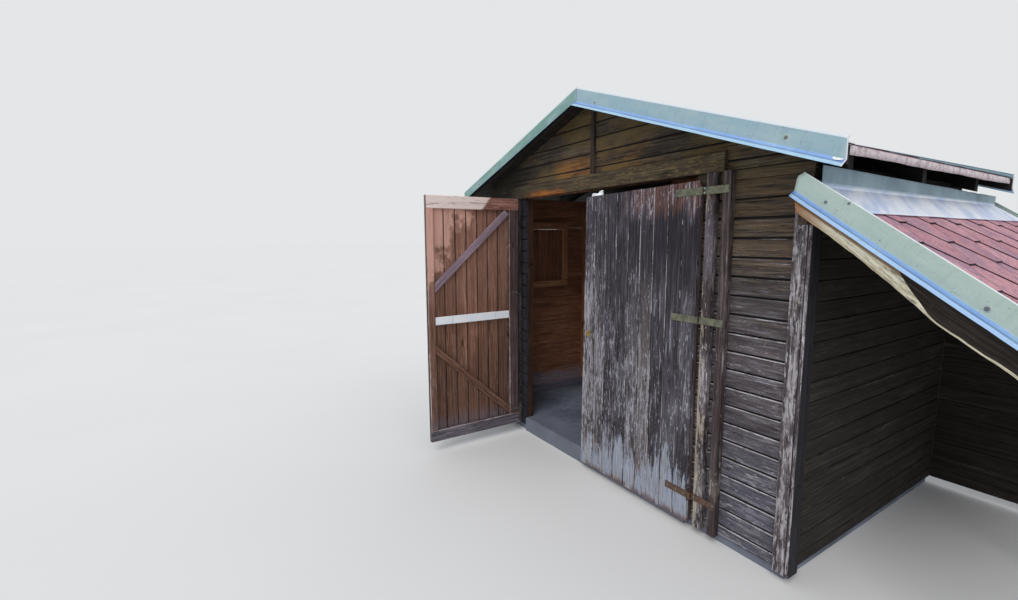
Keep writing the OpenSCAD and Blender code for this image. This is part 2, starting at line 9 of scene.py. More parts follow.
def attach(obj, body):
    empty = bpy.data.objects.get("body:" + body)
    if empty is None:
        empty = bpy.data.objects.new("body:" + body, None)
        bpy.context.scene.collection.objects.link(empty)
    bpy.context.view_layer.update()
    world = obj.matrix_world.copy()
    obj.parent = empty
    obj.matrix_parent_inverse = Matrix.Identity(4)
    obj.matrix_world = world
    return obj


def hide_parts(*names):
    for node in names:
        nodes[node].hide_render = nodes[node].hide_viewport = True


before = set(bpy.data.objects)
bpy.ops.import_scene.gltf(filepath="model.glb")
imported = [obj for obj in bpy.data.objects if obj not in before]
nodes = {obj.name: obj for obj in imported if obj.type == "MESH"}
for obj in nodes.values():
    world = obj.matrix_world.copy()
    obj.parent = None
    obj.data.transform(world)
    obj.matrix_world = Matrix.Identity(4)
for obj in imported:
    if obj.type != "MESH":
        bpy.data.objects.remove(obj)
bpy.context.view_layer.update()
rng = random.Random(11)

# Sizes from the part's source, in metres
D2 = 0.95  # the front wall's face is at y = -D2
HALF = 1.475
WALL_IN = 1.453
SHED_D = 1.9
CLAD_T = 0.022
CLAD_LOW = 0.05
BOARD = 0.1006  # visible height of one cladding board
SEAM = 0.318  # height of one of the seams between them
DOOR = 0.858
HEAD_Z = 2.078
RIDGE = 2.745
PITCH = {1: math.radians(20.2), -1: math.radians(18.4)}
TRIM_UP, SHINGLE_T, DECK_T, RAFTER_H = 0.024, 0.009, 0.020, 0.092
DECK_TOP = -TRIM_UP - SHINGLE_T
DECK_LOW = DECK_TOP - DECK_T
RAFTER_LOW = DECK_LOW - RAFTER_H
ROOF_HALF = 1.671
VERGE = 0.170
LEAN_TOP = 2.035
LEAN_PITCH = math.radians(35.9)
LEAN_W = 1.122
LEAN_FRONT, LEAN_BACK = 0.163, 0.300
COURSE, PERIOD, FLAT = 0.145, 0.333, 0.079
BARGE_T, BARGE_H, SHEET = 0.024, 0.072, 0.002
FLASH_OUT, FLASH_H, FLASH_BACK_H, FLASH_W = 0.096, 0.094, 0.060, 0.196
WIN_Y, WIN_W, WIN_Z, WIN_H = 0.640, 0.470, 1.290, 0.560
CORNER_W, TRIM_T, CORNER_LOW = 0.066, 0.020, CLAD_LOW - 0.005
HEAD_T, HEAD_H = 0.030, 0.104
PIN = {1: 0.932, -1: 0.910}
HINGE_Z = (0.230, 1.274, 1.984)
HANG_T, HANG_W, CASING_GAP, CASING_W = 0.045, 0.054, 0.042, 0.048
STUD, SILL_H, PLATE_H, FLOOR_T = 0.060, 0.060, 0.070, 0.122
RAIL_H, BEAM_T, BACK_POST_X = 0.090, 0.080, 0.500
X, Y, Z = Vector((1, 0, 0)), Vector((0, 1, 0)), Vector((0, 0, 1))


def set_out(y):
    """Turns a distance behind the front wall's face into the frame's y."""
    return y - D2


class Slope:
    """A roof slope: s runs down it from its top edge, v square to it, and y from the front wall's face."""

    def __init__(self, x, z, pitch, side=1):
        self.x, self.z, self.side = x, z, side
        self.sin, self.cos, self.tan = math.sin(pitch), math.cos(pitch), math.tan(pitch)
        self.down = Vector((side * self.cos, 0, -self.sin))
        self.up = Vector((side * self.sin, 0, self.cos))

    def __call__(self, s, y, v):
        return Vector((self.x, set_out(y), self.z)) + self.down * s + self.up * v

    def height(self, x, v):
        """Height of the layer v at the distance x from the shed's middle."""
        return self.z - (x - self.x) * self.tan + v / self.cos


ROOF = {side: Slope(0, RIDGE, PITCH[side], side) for side in (-1, 1)}
LEAN = Slope(HALF, LEAN_TOP, LEAN_PITCH)
LEAN_LEN = LEAN_W / LEAN.cos
SIDES = ((-1, "left"), (1, "right"))


# Shader values
class Value:
    """The output of a shader node, which adds and multiplies like a number."""

    def __init__(self, socket):
        self.socket = socket

    def __add__(self, other):
        return calc("ADD", self, other)

    def __sub__(self, other):
        return calc("SUBTRACT", self, other)

    def __rsub__(self, other):
        return calc("SUBTRACT", other, self)

    def __mul__(self, other):
        return calc("MULTIPLY", self, other)

    __radd__, __rmul__ = __add__, __mul__

    def ramp(self, low, high):
        """0 up to low, 1 from high on, and a soft step between them."""
        n = new_node("ShaderNodeMapRange", clamp=True, interpolation_type="SMOOTHSTEP")
        return fill(n, self, low, high)

    def fall(self, low, high):
        return 1.0 - self.ramp(low, high)

    def window(self, a, b, c, d):
        """0 outside a..d, 1 inside b..c."""
        return self.ramp(a, b) * self.fall(c, d)

    def swing(self, size):
        """Moves a noise of 0..1 to around 0 and scales it."""
        return (self - 0.5) * size

    def to(self, colour, share):
        """This colour, turned into another one by share."""
        return mix(share, self, colour)


class Tree:
    """The material whose nodes are being written; one at a time."""
    now = None

    def __init__(self, name):
        self.name = name
        self.mat = bpy.data.materials.new(name)
        self.mat.use_nodes = True
        self.nt = self.mat.node_tree
        self.bsdf = self.nt.nodes["Principled BSDF"].inputs
        Tree.now = self


M = {}


def new_node(kind, **props):
    n = Tree.now.nt.nodes.new(kind)
    for k, v in props.items():
        setattr(n, k, v)
    return n


def put(socket, value):
    if isinstance(value, Value):
        Tree.now.nt.links.new(value.socket, socket)
    elif socket.type == "RGBA":
        socket.default_value = (*value, 1)
    else:
        socket.default_value = value


def fill(n, *values):
    for socket, value in zip(n.inputs, values):
        put(socket, value)
    return Value(n.outputs[0])


def calc(op, a, b=0.0, clamp=False):
    return fill(new_node("ShaderNodeMath", operation=op, use_clamp=clamp), a, b)


def mix(share, a, b, kind="MIX"):
    n = new_node("ShaderNodeMix", data_type="RGBA", blend_type=kind)
    for i, value in ((0, share), (6, a), (7, b)):
        put(n.inputs[i], value)
    return Value(n.outputs[2])


def split(vector):
    n = new_node("ShaderNodeSeparateXYZ")
    fill(n, vector)
    return [Value(o) for o in n.outputs]


def combine(x, y, z):
    return fill(new_node("ShaderNodeCombineXYZ"), x, y, z)


def noise(at, detail=4.0, rough=0.5, scale=1.0, distort=0.0):
    """Noise at a place, which is a vector or three numbers or values."""
    n = new_node("ShaderNodeTexNoise")
    at = combine(*at) if isinstance(at, tuple) else at
    values = dict(Vector=at, Scale=scale, Detail=detail, Roughness=rough, Distortion=distort)
    for word, value in values.items():
        put(n.inputs[word], value)
    return Value(n.outputs[0])


def cells(at, scale, out):
    n = new_node("ShaderNodeTexVoronoi")
    put(n.inputs["Vector"], at)
    put(n.inputs["Scale"], scale)
    return Value(n.outputs[out])


def attribute(name, kind):
    return Value(new_node("ShaderNodeAttribute", attribute_name=name).outputs[kind])


def place():
    return Value(new_node("ShaderNodeTexCoord").outputs["Object"])


def finish(colour, rough, height=None, distance=0.001, metallic=None, specular=None):
    """Closes the material that is being written and keeps it under its name."""
    bsdf = Tree.now.bsdf
    put(bsdf["Base Color"], colour)
    put(bsdf["Roughness"], rough)
    if metallic is not None:
        put(bsdf["Metallic"], metallic)
    if specular is not None:
        put(bsdf["Specular IOR Level"], specular)
    if height is not None:
        b = new_node("ShaderNodeBump")
        put(b.inputs["Strength"], 1.0)
        put(b.inputs["Distance"], distance)
        put(b.inputs["Height"], height)
        put(bsdf["Normal"], Value(b.outputs[0]))
    M[Tree.now.name] = Tree.now.mat


def rgb(r, g, b):
    """An sRGB colour of 0..255 as the shader's linear numbers."""
    return tuple((c / 255 / 12.92) if c <= 10 else ((c / 255 + 0.055) / 1.055) ** 2.4 for c in (r, g, b))


def times(colour, k):
    return tuple(min(1.0, c * k) for c in colour)


# Wood
class Wood(SimpleNamespace):
    """What the masks of a wood go by and may change. Colours are sRGB numbers of 0..255, or values."""

    def blend(self, mask, colour, amount):
        self.col = self.col.to(rgb(*colour), calc("MULTIPLY", mask, amount, clamp=True))

    def later(self, mask, colour, amount):
        """As blend, but on top of the flakes."""
        self.late.append((mask * amount, colour if isinstance(colour, Value) else rgb(*colour)))


def wood(name, dark, mid, light, wear, pale, masks=None, bump=0.0016, knots=0.35, vary=0.16,
         marks=1.0, flakes=1.0):
    """Weathered board. The mesh attribute "grain" holds each point's place along, across and through its own
    board with a random shift, and "tint" a random number for each board. wear is how much of the stain has
    flaked off to the pale wood. masks(e) changes e.col and e.wear by the place on the shed."""
    dark, mid, light, pale = (rgb(*c) for c in (dark, mid, light, pale))
    Tree(name)
    tint = attribute("tint", "Fac")
    gx, gy, gz = split(attribute("grain", "Vector"))
    # fibres: noise stretched along the board, bent by a slower noise and round the knots
    slow = noise((gx * 1.3, gy * 9.0, gz * 9.0), 2.0)
    bent = gy + slow.swing(0.026)
    knot_at = cells(combine(gx * 2.6, gy * 10.5, gz * 2.0), 1.0, "Distance")
    around = bent + knot_at.fall(0.04, 0.30) * 0.012
    fine = noise((gx * 7.0, around * 330.0, gz * 140.0), 5.0, 0.66)
    rings = noise((gx * 1.2, around * 85.0, gz * 50.0), 2.0, 0.55)
    blotch = noise((gx * 2.6, gy * 7.0, gz * 7.0), 4.0, 0.62)
    flake = noise((gx * 20.0, gy * 92.0, gz * 88.0), 6.0, 0.72, scale=flakes)
    streak = noise((gx * 3.2, around * 75.0, gz * 60.0), 5.0, 0.68)
    crack = noise((gx * 1.6, around * 90.0, gz), 1.0).window(0.488, 0.498, 0.502, 0.512)
    crack = crack * noise((gx * 3.0, gy * 20.0, 3.3), 2.0).ramp(0.50, 0.58)
    value = fine * 0.72 + rings * 0.36
    col = mix(value.ramp(0.44, 0.64), dark, mid).to(light, (value + blotch * 0.45).ramp(0.74, 0.94) * 0.9)
    if knots:
        col = col.to(times(dark, 0.30), calc("MULTIPLY", knot_at.ramp(0.10, 0.05), knots * 2.0, clamp=True))
    shade = tint * (2 * vary) + (1.0 - vary)
    col = mix(1.0, col, combine(shade, shade, shade), "MULTIPLY")
    e = Wood(col=col, wear=wear, late=[], fine=fine, blotch=blotch, tint=tint, flake=flake, streak=streak,
             place=split(place()))
    if masks:
        masks(e)
    # flakes and streaks where the stain has gone, more of them where the wear is high
    limit = 0.70 - (e.wear + tint.swing(0.35) + blotch.swing(1.5)) * 0.20
    bare = calc("MAXIMUM", (flake - limit).ramp(0.0, 0.022) * 0.95, (streak - limit).ramp(0.0, 0.035) * 0.75)
    col = e.col.to(mix(fine.ramp(0.3, 0.7), times(pale, 0.55), times(pale, 1.25)), bare * 0.9)
    for mask, colour in e.late:
        col = col.to(colour, mask)
    nick = noise((gx * 21.0, gy * 130.0, gz * 70.0), 5.0, 0.74).ramp(0.60, 0.64)
    col = col.to(times(dark, 0.35), nick * (0.65 * marks)).to(times(dark, 0.20), crack * (0.85 * marks))
    height = fine * 0.9 + rings * 0.4 + crack * -1.8 + bare * -0.35
    finish(col, fine * 0.22 + 0.70, height, bump, specular=0.30)


def doorway_shade(e, colour):
    """Painted shade on the cladding's end beside the doorway."""
    x, y, z = e.place
    e.later(x.window(-0.930, -0.922, -0.8, -0.7) * z.fall(2.075, 2.08), colour, 0.95)


def front_masks(e):
    """Warm bare patches under the roof, greyer, purplish and more flaked boards towards the ground with a
    painted bluish cast of light low down, and painted shade on the left under the roof and in a stripe beside
    the doorway."""
    x, y, z = e.place
    patch = noise((x * 2.3, y * 2.3, z * 6.0), 4.0, 0.6)
    low = z.fall(0.9, 1.95)
    e.blend(low * (e.fine + patch * 0.5).ramp(0.40, 0.85), (100, 94, 104), 0.60)
    # painted bluish cast of light on the lowest boards
    e.blend(z.fall(0.35, 0.95), (84, 92, 110), 0.40)
    mottled = noise((x * 5.0, 2.0, z * 48.0), 6.0, 0.68)
    e.blend(low * mottled.ramp(0.52, 0.62), (134, 130, 140), 0.60)
    e.blend(low * mottled.ramp(0.47, 0.37), (44, 34, 38), 0.70)
    warm = z.window(1.45, 1.65, 2.02, 2.14) * x.ramp(0.95, 1.05)
    e.blend(warm * mottled.ramp(0.40, 0.60), (112, 90, 60), 0.42)
    e.wear = low * (patch.swing(1.8) + 0.50)
    # orange-brown bare wood beside the gable strip, and olive stain under the roof
    bare = x.window(-0.50, -0.36, -0.04, 0.0) * z.window(2.17, 2.20, 2.25, 2.36)
    e.blend(bare * (patch + e.fine * 0.7).ramp(0.68, 0.98), (192, 122, 46), 0.74)
    faint = x.window(-0.02, 0.10, 0.35, 0.70) * z.window(2.17, 2.20, 2.26, 2.40)
    e.blend(faint * (patch + e.fine * 0.6).ramp(0.74, 0.92), (150, 92, 40), 0.6)
    e.blend(z.ramp(1.85, 2.25) * patch.ramp(0.40, 0.62), (104, 88, 54), 0.75)
    # painted shade on the left part under the roof
    e.blend(x.fall(-1.15, -0.55) * z.ramp(2.0, 2.1), (24, 21, 15), 0.8)
    doorway_shade(e, (34, 35, 44))


def back_masks(e):
    """Walls whose weathering the photo does not show: as the front, greyer towards the ground."""
    x, y, z = e.place
    patch = noise((x * 2.3, y * 2.3, z * 6.0), 4.0, 0.6)
    low = z.fall(0.5, 1.9)
    e.blend(low * (e.fine + patch * 0.5).ramp(0.40, 0.85), (98, 92, 102), 0.55)
    # painted bluish cast of light on the lowest boards
    e.blend(z.fall(0.35, 0.80), (84, 92, 110), 0.35)
    e.wear = low * (patch.swing(1.8) + 0.42)


# The front boards' pale upper chamfers: worn wood with a painted highlight, dark like the boards higher up.
def edge_masks(e):
    high = e.place[2].ramp(1.0, 1.95)
    e.blend(high, (50, 42, 34), 0.95)
    e.wear = 1.2 - high * 1.2
    doorway_shade(e, (30, 31, 40))


def inside_masks(e):
    """Bluish dirt on the lowest boards."""
    dirt = (e.place[2] + e.blotch * 0.25).fall(0.36, 0.48)
    e.blend(dirt * e.fine.ramp(0.30, 0.55), (150, 152, 172), 0.75)


def right_leaf_masks(e):
    """Flakes and pale streaks, a bleached foot, and a dark band under bare reddish wood at the top."""
    x, y, z = e.place
    ragged = noise((x * 26.0, z * 2.5, e.tint * 9.0), 6.0, 0.78)
    low = z.fall(0.9, 1.75)
    e.blend((e.tint + e.blotch * 0.6).ramp(0.60, 1.10) * low, (112, 102, 96), 0.6)
    e.blend(low * e.blotch.ramp(0.40, 0.66), (110, 108, 118), 0.40)
    dark = noise((x * 34.0, z * 2.2, e.tint * 5.0), 6.0, 0.70).ramp(0.46, 0.36)
    e.blend(dark, (40, 32, 34), 0.65)
    top = (z + ragged.swing(0.55)).ramp(1.86, 1.96) * (x + ragged.swing(0.5)).ramp(0.30, 0.55)
    dusk = (z + e.blotch.swing(0.5)).window(1.35, 1.65, 1.82, 1.95) * x.ramp(0.10, 0.45)
    e.blend(dusk * e.streak.ramp(0.62, 0.46), (30, 29, 37), 0.70)
    e.blend(top * e.fine.ramp(0.40, 0.62), (136, 92, 76), 0.80)
    free_side = x.fall(0.05, 0.75) * 0.16 + x.fall(0.02, 0.12) * 0.18
    e.wear = low * 0.40 + 0.24 + free_side + (top * 0.36 - dusk * 0.10)
    level = z + ragged.swing(1.10) + e.tint.swing(0.24)
    pale = mix(e.fine.ramp(0.3, 0.7), rgb(112, 122, 140), rgb(182, 188, 204))
    e.later(level.fall(0.235, 0.285), pale.to(rgb(160, 156, 130), e.streak.ramp(0.55, 0.60) * 0.7), 0.92)
    e.later((z + ragged * 0.10).fall(0.105, 0.150) * e.blotch.ramp(0.40, 0.50), (100, 62, 48), 0.8)


def trim_masks(e):
    """Brown paint on the doorway's uprights, peeled to cream along the inner upright's left edge."""
    x, y, z = e.place
    ragged = noise((x * 30.0, y * 30.0, z * 5.0), 7.0, 0.78)
    low = z.fall(0.95, 1.60)
    inner = x.window(0.5, 0.6, 1.010, 1.030)
    e.blend(inner * e.blotch.ramp(0.42, 0.60), (108, 100, 112), 0.6)
    # distance from the upright's left edge, against a ragged limit
    reach = (ragged.swing(2.6) + low * 0.24) * 0.10 + 0.946
    peeled = (x - reach).fall(-0.002, 0.002) * x.ramp(0.90, 0.91)
    e.wear = low * 0.30 + 0.12 + inner * 0.46
    e.later(peeled, mix(e.fine.ramp(0.35, 0.65), rgb(128, 116, 102), rgb(196, 184, 164)), 0.85)
    e.blend(z.fall(0.2, 0.5) * e.blotch.ramp(0.45, 0.55), (132, 124, 118), 0.6)


def corner_masks(e):
    """Peeled to grey below, with an orange patch of fresh wood at the top of the front right corner."""
    x, y, z = e.place
    peel = noise((x * 30.0, y * 30.0, z * 6.0), 7.0, 0.78)
    grey = peel.ramp(0.42, 0.60) * z.fall(1.75, 1.95)
    e.blend(grey, (140, 131, 135), 0.70)
    e.wear = grey * 0.45 + 0.58
    fresh = z.window(1.84, 1.865, 1.90, 1.93) * x.ramp(1.38, 1.42) * y.fall(-0.1, 0.1)
    e.blend(fresh, (190, 110, 48), 0.85)


def lintel_masks(e):
    """Orange bare wood low on the left, olive flecks to the right, shade under the left roof edge."""
    x, y, z = e.place
    bare = x.window(-0.95, -0.55, -0.20, 0.10) * z.fall(2.095, 2.135)
    e.blend(bare * (e.blotch + e.fine * 0.5).ramp(0.62, 0.80), (176, 104, 40), 0.8)
    e.blend(e.flake.ramp(0.54, 0.60) * x.ramp(-0.4, 0.0), (138, 120, 70), 0.45)
    e.blend(x.fall(-1.05, -0.55), (30, 26, 20), 0.75)


def free_end(e):
    """The end of the open leaf, which looks away from the light, is dark."""
    e.later(e.place[1].fall(-1.8662, -1.8645), (52, 46, 48), 0.85)


def sunlit_rail_masks(e):
    """The open leaf's top rail: painted sunlight, pale and pinkish, on its outer two thirds."""
    x, y, z = e.place
    pale = (y - z * 0.75 + e.fine * 0.02).fall(-2.86, -2.83)
    e.wear = 0.1
    e.later(pale, mix(e.fine, rgb(240, 212, 204), rgb(255, 244, 238)), 0.95)
    free_end(e)


def left_leaf_masks(e):
    """Painted dappled sunlight makes it warmer and lighter near the outer top corner; darker below the painted
    rail, dusty at the foot.
    """
    x, y, z = e.place
    # painted dappled sunlight: a patch whose slanting edge is mottled
    mottled = noise((y * 9.0, z * 7.0, 1.7), 5.0, 0.66)
    level = y - (z - 1.53) * 0.67 + mottled.swing(0.9)
    e.blend(z.ramp(0.95, 1.50), (176, 130, 116), 0.28)
    e.blend(level.fall(-1.87, -1.68) * z.ramp(1.10, 1.35), (236, 184, 168), 0.74)
    e.blend(z.fall(0.55, 1.0), (70, 50, 42), 0.42)
    dust = (z + e.blotch * 0.20).fall(0.28, 0.44)
    e.blend(dust * e.fine.ramp(0.36, 0.56), (112, 108, 122), 0.7)
    free_end(e)


def sill_masks(e):
    e.blend(e.fine.ramp(0.30, 0.55), (120, 120, 138), 0.8)


def waney_masks(e):
    """Orange-brown at the end by the wall, dark flakes of bark along the band, brown under the metal trim."""
    x, y, z = e.place
    e.blend((x + e.blotch * 0.30).fall(1.62, 1.80), (160, 98, 50), 0.85)
    e.blend(e.flake.ramp(0.50, 0.62) * e.blotch.ramp(0.46, 0.58), (124, 102, 70), 0.6)
    up = (x - HALF) * 0.5864 + (z - LEAN_TOP) * 0.8100 + e.fine.swing(0.022)
    e.blend(up.ramp(-0.130, -0.123), (126, 88, 52), 0.86)
    e.blend(up.ramp(-0.119, -0.110), (62, 46, 34), 0.8)


wood("cladding_front", (42, 36, 31), (76, 67, 58), (106, 95, 82), 0.3, (166, 162, 172), front_masks,
     flakes=1.3)
# pale upper chamfers of the front boards: worn wood and a painted highlight
wood("cladding_front_edges", (84, 78, 82), (128, 122, 128), (158, 154, 160), 1.0, (196, 192, 198), edge_masks)
wood("board_joints", (14, 12, 12), (22, 19, 19), (34, 30, 30), 0.0, (60, 56, 56), knots=0.0)
# dark brown stain, darkened further with painted shade of the lean-to
wood("cladding_side", (30, 27, 24), (48, 43, 38), (64, 58, 52), 0.15, (104, 100, 98))
wood("cladding_back", (40, 34, 29), (68, 59, 51), (94, 83, 72), 0.2, (150, 146, 152), back_masks, flakes=1.3)
wood("inside_boards", (128, 84, 62), (166, 112, 84), (190, 138, 108), -0.3, (190, 160, 136), inside_masks,
     knots=0.5)
# the inside's wood in painted shade, for the posts in the doorway
wood("inside_dark_wood", (44, 29, 21), (62, 41, 29), (78, 53, 39), -0.3, (110, 90, 76))
wood("inside_light_wood", (134, 88, 58), (170, 116, 80), (196, 140, 102), -0.2, (220, 186, 150))
wood("window_frame_wood", (166, 112, 80), (206, 148, 110), (226, 174, 136), -0.2, (206, 170, 138))
wood("sill_timber", (70, 60, 60), (104, 94, 98), (136, 130, 140), 0.2, (170, 170, 184), sill_masks)
wood("trim_boards", (46, 37, 38), (78, 65, 66), (106, 94, 96), 0.4, (188, 182, 184), trim_masks)
wood("corner_boards", (46, 40, 42), (78, 70, 73), (110, 102, 106), 0.6, (186, 182, 188), corner_masks)
# the corner boards' right-hand sides: painted shade
wood("corner_boards_side", (26, 24, 30), (44, 42, 50), (62, 60, 70), 0.15, (110, 108, 120))
wood("head_board", (54, 46, 36), (86, 74, 56), (112, 98, 72), 0.25, (150, 142, 120), lintel_masks)
wood("gable_strip", (40, 33, 30), (64, 54, 48), (84, 74, 66), 0.2, (120, 112, 106))
wood("right_leaf_boards", (40, 36, 43), (72, 67, 76), (102, 97, 108), 0.5, (172, 170, 182), right_leaf_masks,
     vary=0.24)
# pale chamfer on one side of each seam: worn wood with a painted highlight
wood("right_leaf_board_edges", (58, 54, 58), (104, 98, 104), (142, 136, 144), 0.9, (196, 194, 202))
wood("left_leaf_outer_boards", (46, 40, 46), (70, 62, 70), (92, 85, 92), 0.7, (158, 154, 164))
wood("left_leaf_boards", (98, 66, 52), (136, 98, 80), (172, 130, 110), -0.05, (196, 166, 152),
     left_leaf_masks, knots=0.5, vary=0.26, marks=0.55)
# pale chamfers on the frame's front and top edges: worn wood with a painted highlight
wood("left_leaf_pale_edges", (128, 104, 98), (168, 142, 134), (196, 172, 164), 0.8, (220, 206, 200),
     knots=0.0, marks=0.4)
wood("left_leaf_stiles", (66, 51, 50), (92, 74, 74), (116, 98, 98), 0.05, (150, 138, 140))
wood("left_leaf_free_stile", (108, 76, 64), (150, 112, 96), (178, 142, 126), 0.3, (208, 190, 182),
     left_leaf_masks, marks=0.6)
# the open leaf's end face: dark, painted shade
wood("left_leaf_edge", (30, 27, 32), (48, 44, 52), (74, 70, 78), 0.7, (150, 146, 156))
wood("left_leaf_braces", (118, 98, 110), (156, 134, 148), (182, 162, 174), 0.2, (196, 186, 196), marks=0.6)
wood("left_leaf_lower_brace", (78, 52, 42), (112, 78, 64), (142, 106, 90), 0.15, (170, 146, 134))
# its outer two thirds pale and pinkish: painted sunlight
wood("left_leaf_top_rail", (104, 66, 58), (146, 98, 88), (172, 126, 116), 0.2, (204, 184, 176),
     sunlit_rail_masks)
wood("left_leaf_bottom_rail", (72, 64, 70), (104, 98, 108), (132, 128, 140), 0.3, (166, 166, 180))
# the cladding's board ends in the doorway: dark bluish, painted shade
wood("door_jambs", (34, 33, 41), (54, 53, 63), (72, 71, 82), 0.05, (104, 104, 116))
wood("frame_timber", (84, 52, 34), (122, 80, 54), (150, 104, 72), -0.1, (160, 130, 100))
# nearly black: painted shade under the eaves, on the deck, the barge boards and the plates
wood("roof_boards", (22, 19, 16), (34, 29, 25), (48, 42, 36), 0.0, (80, 74, 66))
wood("lean_to_timber", (48, 37, 29), (72, 58, 47), (98, 82, 68), 0.2, (140, 130, 118))
wood("waney_edge", (206, 196, 162), (246, 239, 212), (252, 248, 232), 0.1, (253, 251, 242), waney_masks,
     knots=0.0, bump=0.0006)
wood("waney_rafter_face", (30, 25, 21), (48, 41, 35), (70, 60, 52), 0.15, (140, 130, 118))


def sawn_wood(name, slope, dark, mid, light):
    """Wood for the rafters, which keep their own mesh: the grain runs down each slope."""
    Tree(name)
    x, y, z = split(place())
    x = calc("ABSOLUTE", x) if slope is ROOF[1] else x
    across = z + x * slope.tan
    fine = noise((x * 5.0, across * 240.0, y * 110.0), 5.0, 0.62)
    rings = noise((x * 1.1, across * 60.0, y * 38.0), 3.0, 0.55)
    blotch = noise((x * 2.2, across * 5.0, y * 5.0), 4.0, 0.6)
    col = mix((fine * 0.62 + rings * 0.55).ramp(0.42, 0.78), rgb(*dark), rgb(*mid))
    col = col.to(rgb(*light), (rings + blotch * 0.6).ramp(0.78, 1.08) * 0.85)
    finish(col, fine * 0.24 + 0.66, fine + rings * 0.5, 0.0014)


# the rafters nearly black: painted shade under the roof
sawn_wood("rafter_timber", ROOF[1], (14, 12, 10), (22, 19, 16), (32, 28, 23))
sawn_wood("lean_to_rafter_timber", LEAN, (52, 40, 31), (78, 62, 49), (102, 84, 66))


# Other materials
def painted_wood():
    Tree("white_rail")
    gx, gy, gz = split(attribute("grain", "Vector"))
    fine = noise((gx * 5.0, gy * 220.0, gz * 90.0), 5.0, 0.6)
    blotch = noise((gx * 4.0, gy * 14.0, gz), 4.0, 0.6)
    col = mix(blotch.ramp(0.35, 0.65), rgb(240, 246, 255), rgb(252, 253, 255))
    col = col.to(rgb(120, 110, 112), (fine + blotch * 0.5).ramp(0.92, 1.06) * 0.7)
    finish(col, fine * 0.25 + 0.45, fine, 0.0006)


def metal_trim(name, face, upper, lower, dust, left=None, end=None):
    """Painted sheet: dusty face, drip edge in two bands of painted bluish sky reflection and shading, pale
    rolled hem, small scratches, stains and runs. The "tint" attribute is 0 on the face, 0.6 and 1 on the drip
    edge and below
    0 on the hem. left is the face's darker colour on the left slope, a painted shade, and end the x where a
    pale end starts."""
    face, upper, lower, dust = (rgb(*c) for c in (face, upper, lower, dust))
    Tree(name)
    p = place()
    x = split(p)[0]
    edge = attribute("tint", "Fac")
    gx, gy, gz = split(attribute("grain", "Vector"))
    cloud = noise((gx * 3.5, gy * 9.0, 0.0), 5.0, 0.62)
    along = noise((gx * 1.6, gy * 60.0, 0.0), 4.0, 0.6)
    runs = noise((gx * 34.0, gy * 5.0, 4.0), 5.0, 0.62)
    speck = noise(p, 4.0, 0.72, 150.0)
    patch = noise(p, 5.0, 0.7, 17.0)
    # the face on the left slope darker: painted shade
    base = mix(x.ramp(0.02, -0.02), face, rgb(*left)) if left else face
    col = mix(cloud.ramp(0.42, 0.66) * 0.55, base, dust).to(times(face, 1.35), along.ramp(0.50, 0.74) * 0.16)
    # the drip edge's bluish bands: painted sky reflection and shading
    drip = mix(edge.ramp(0.78, 0.86), mix(edge.ramp(0.62, 0.70), upper, times(upper, 0.62)), lower)
    drip = drip.to(times(lower, 1.3), cloud.ramp(0.46, 0.70) * 0.35)
    col = col.to(drip, edge.ramp(0.30, 0.40)).to(times(face, 0.72), runs.ramp(0.54, 0.72) * 0.30)
    col = col.to(rgb(92, 88, 80), (speck + patch * 0.5).ramp(0.86, 0.96) * 0.65)
    col = col.to(rgb(226, 232, 236), (speck + patch * -0.5).ramp(0.42, 0.52) * 0.30)
    pale = rgb(236, 240, 246)
    col = col.to(pale, edge.ramp(-0.10, -0.20) * 0.85)
    if end:
        col = col.to(pale, x.ramp(end, end + 0.0008) * 0.8)
    dent = noise((gx * 6.0, gy * 9.0, gz), 2.0)
    finish(col, cloud * 0.2 + 0.38, dent + speck * 0.05, 0.0035, metallic=0.10)


def flashing_metal():
    """Bare sheet; the "tint" attribute is 1 on the apron, which is pale with painted sunlight and diagonal
    streaks of painted tree shadow.
    """
    Tree("flashing_sheet")
    p = place()
    gx, gy, gz = split(attribute("grain", "Vector"))
    # diagonal streaks of painted tree shadow on the apron
    streak = noise(((gx + gy * 1.2) * 5.0, gy * 3.0, 0.0), 5.0, 0.60)
    cloud = noise(p, 5.0, 0.6, 4.0)
    speck = noise(p, 3.0, 0.7, 190.0)
    upright = mix(cloud.ramp(0.3, 0.7), rgb(110, 136, 148), rgb(146, 170, 180))
    # the apron's pale colour is painted sunlight
    apron = mix(streak.ramp(0.36, 0.60), rgb(198, 212, 244), rgb(242, 247, 255))
    col = upright.to(apron, attribute("tint", "Fac")).to(rgb(96, 100, 104), speck.ramp(0.60, 0.72) * 0.35)
    finish(col, cloud * 0.22 + 0.36, noise((gx * 9.0, gy * 5.0, gz), 2.0), 0.005, metallic=0.25)


def shingle_material(name, pink, red, dark, pale, tree_shadows=0.0):
    """Bitumen tabs with mineral granules, each tab with its own tone, and patches of painted tree shadow."""
    pink, red, dark, pale = (rgb(*c) for c in (pink, red, dark, pale))
    Tree(name)
    p = place()
    granule = split(cells(p, 620.0, "Color"))[0]
    size = noise(p, 2.0, 0.6, 900.0)
    cloud = noise(p, 5.0, 0.6, 5.0)
    mottle = noise(p, 4.0, 0.65, 26.0)
    tree_shadow = noise(p, 3.0, 0.6, 7.0, 0.6)
    col = mix(attribute("tint", "Fac").ramp(0.1, 0.9), pink, red)
    col = col.to(dark, mottle.ramp(0.45, 0.68) * 0.6).to(pale, cloud.ramp(0.45, 0.70) * 0.35)
    # purplish patches: painted tree shadow
    col = col.to(rgb(140, 116, 146), tree_shadow.ramp(0.47, 0.60) * tree_shadows)
    col = col.to(times(pink, 1.7), granule.ramp(0.55, 0.95) * 0.55)
    col = col.to(times(dark, 0.35), granule.ramp(0.30, 0.0) * 0.55)
    finish(col, 0.92, size + granule * 0.6, 0.0012)


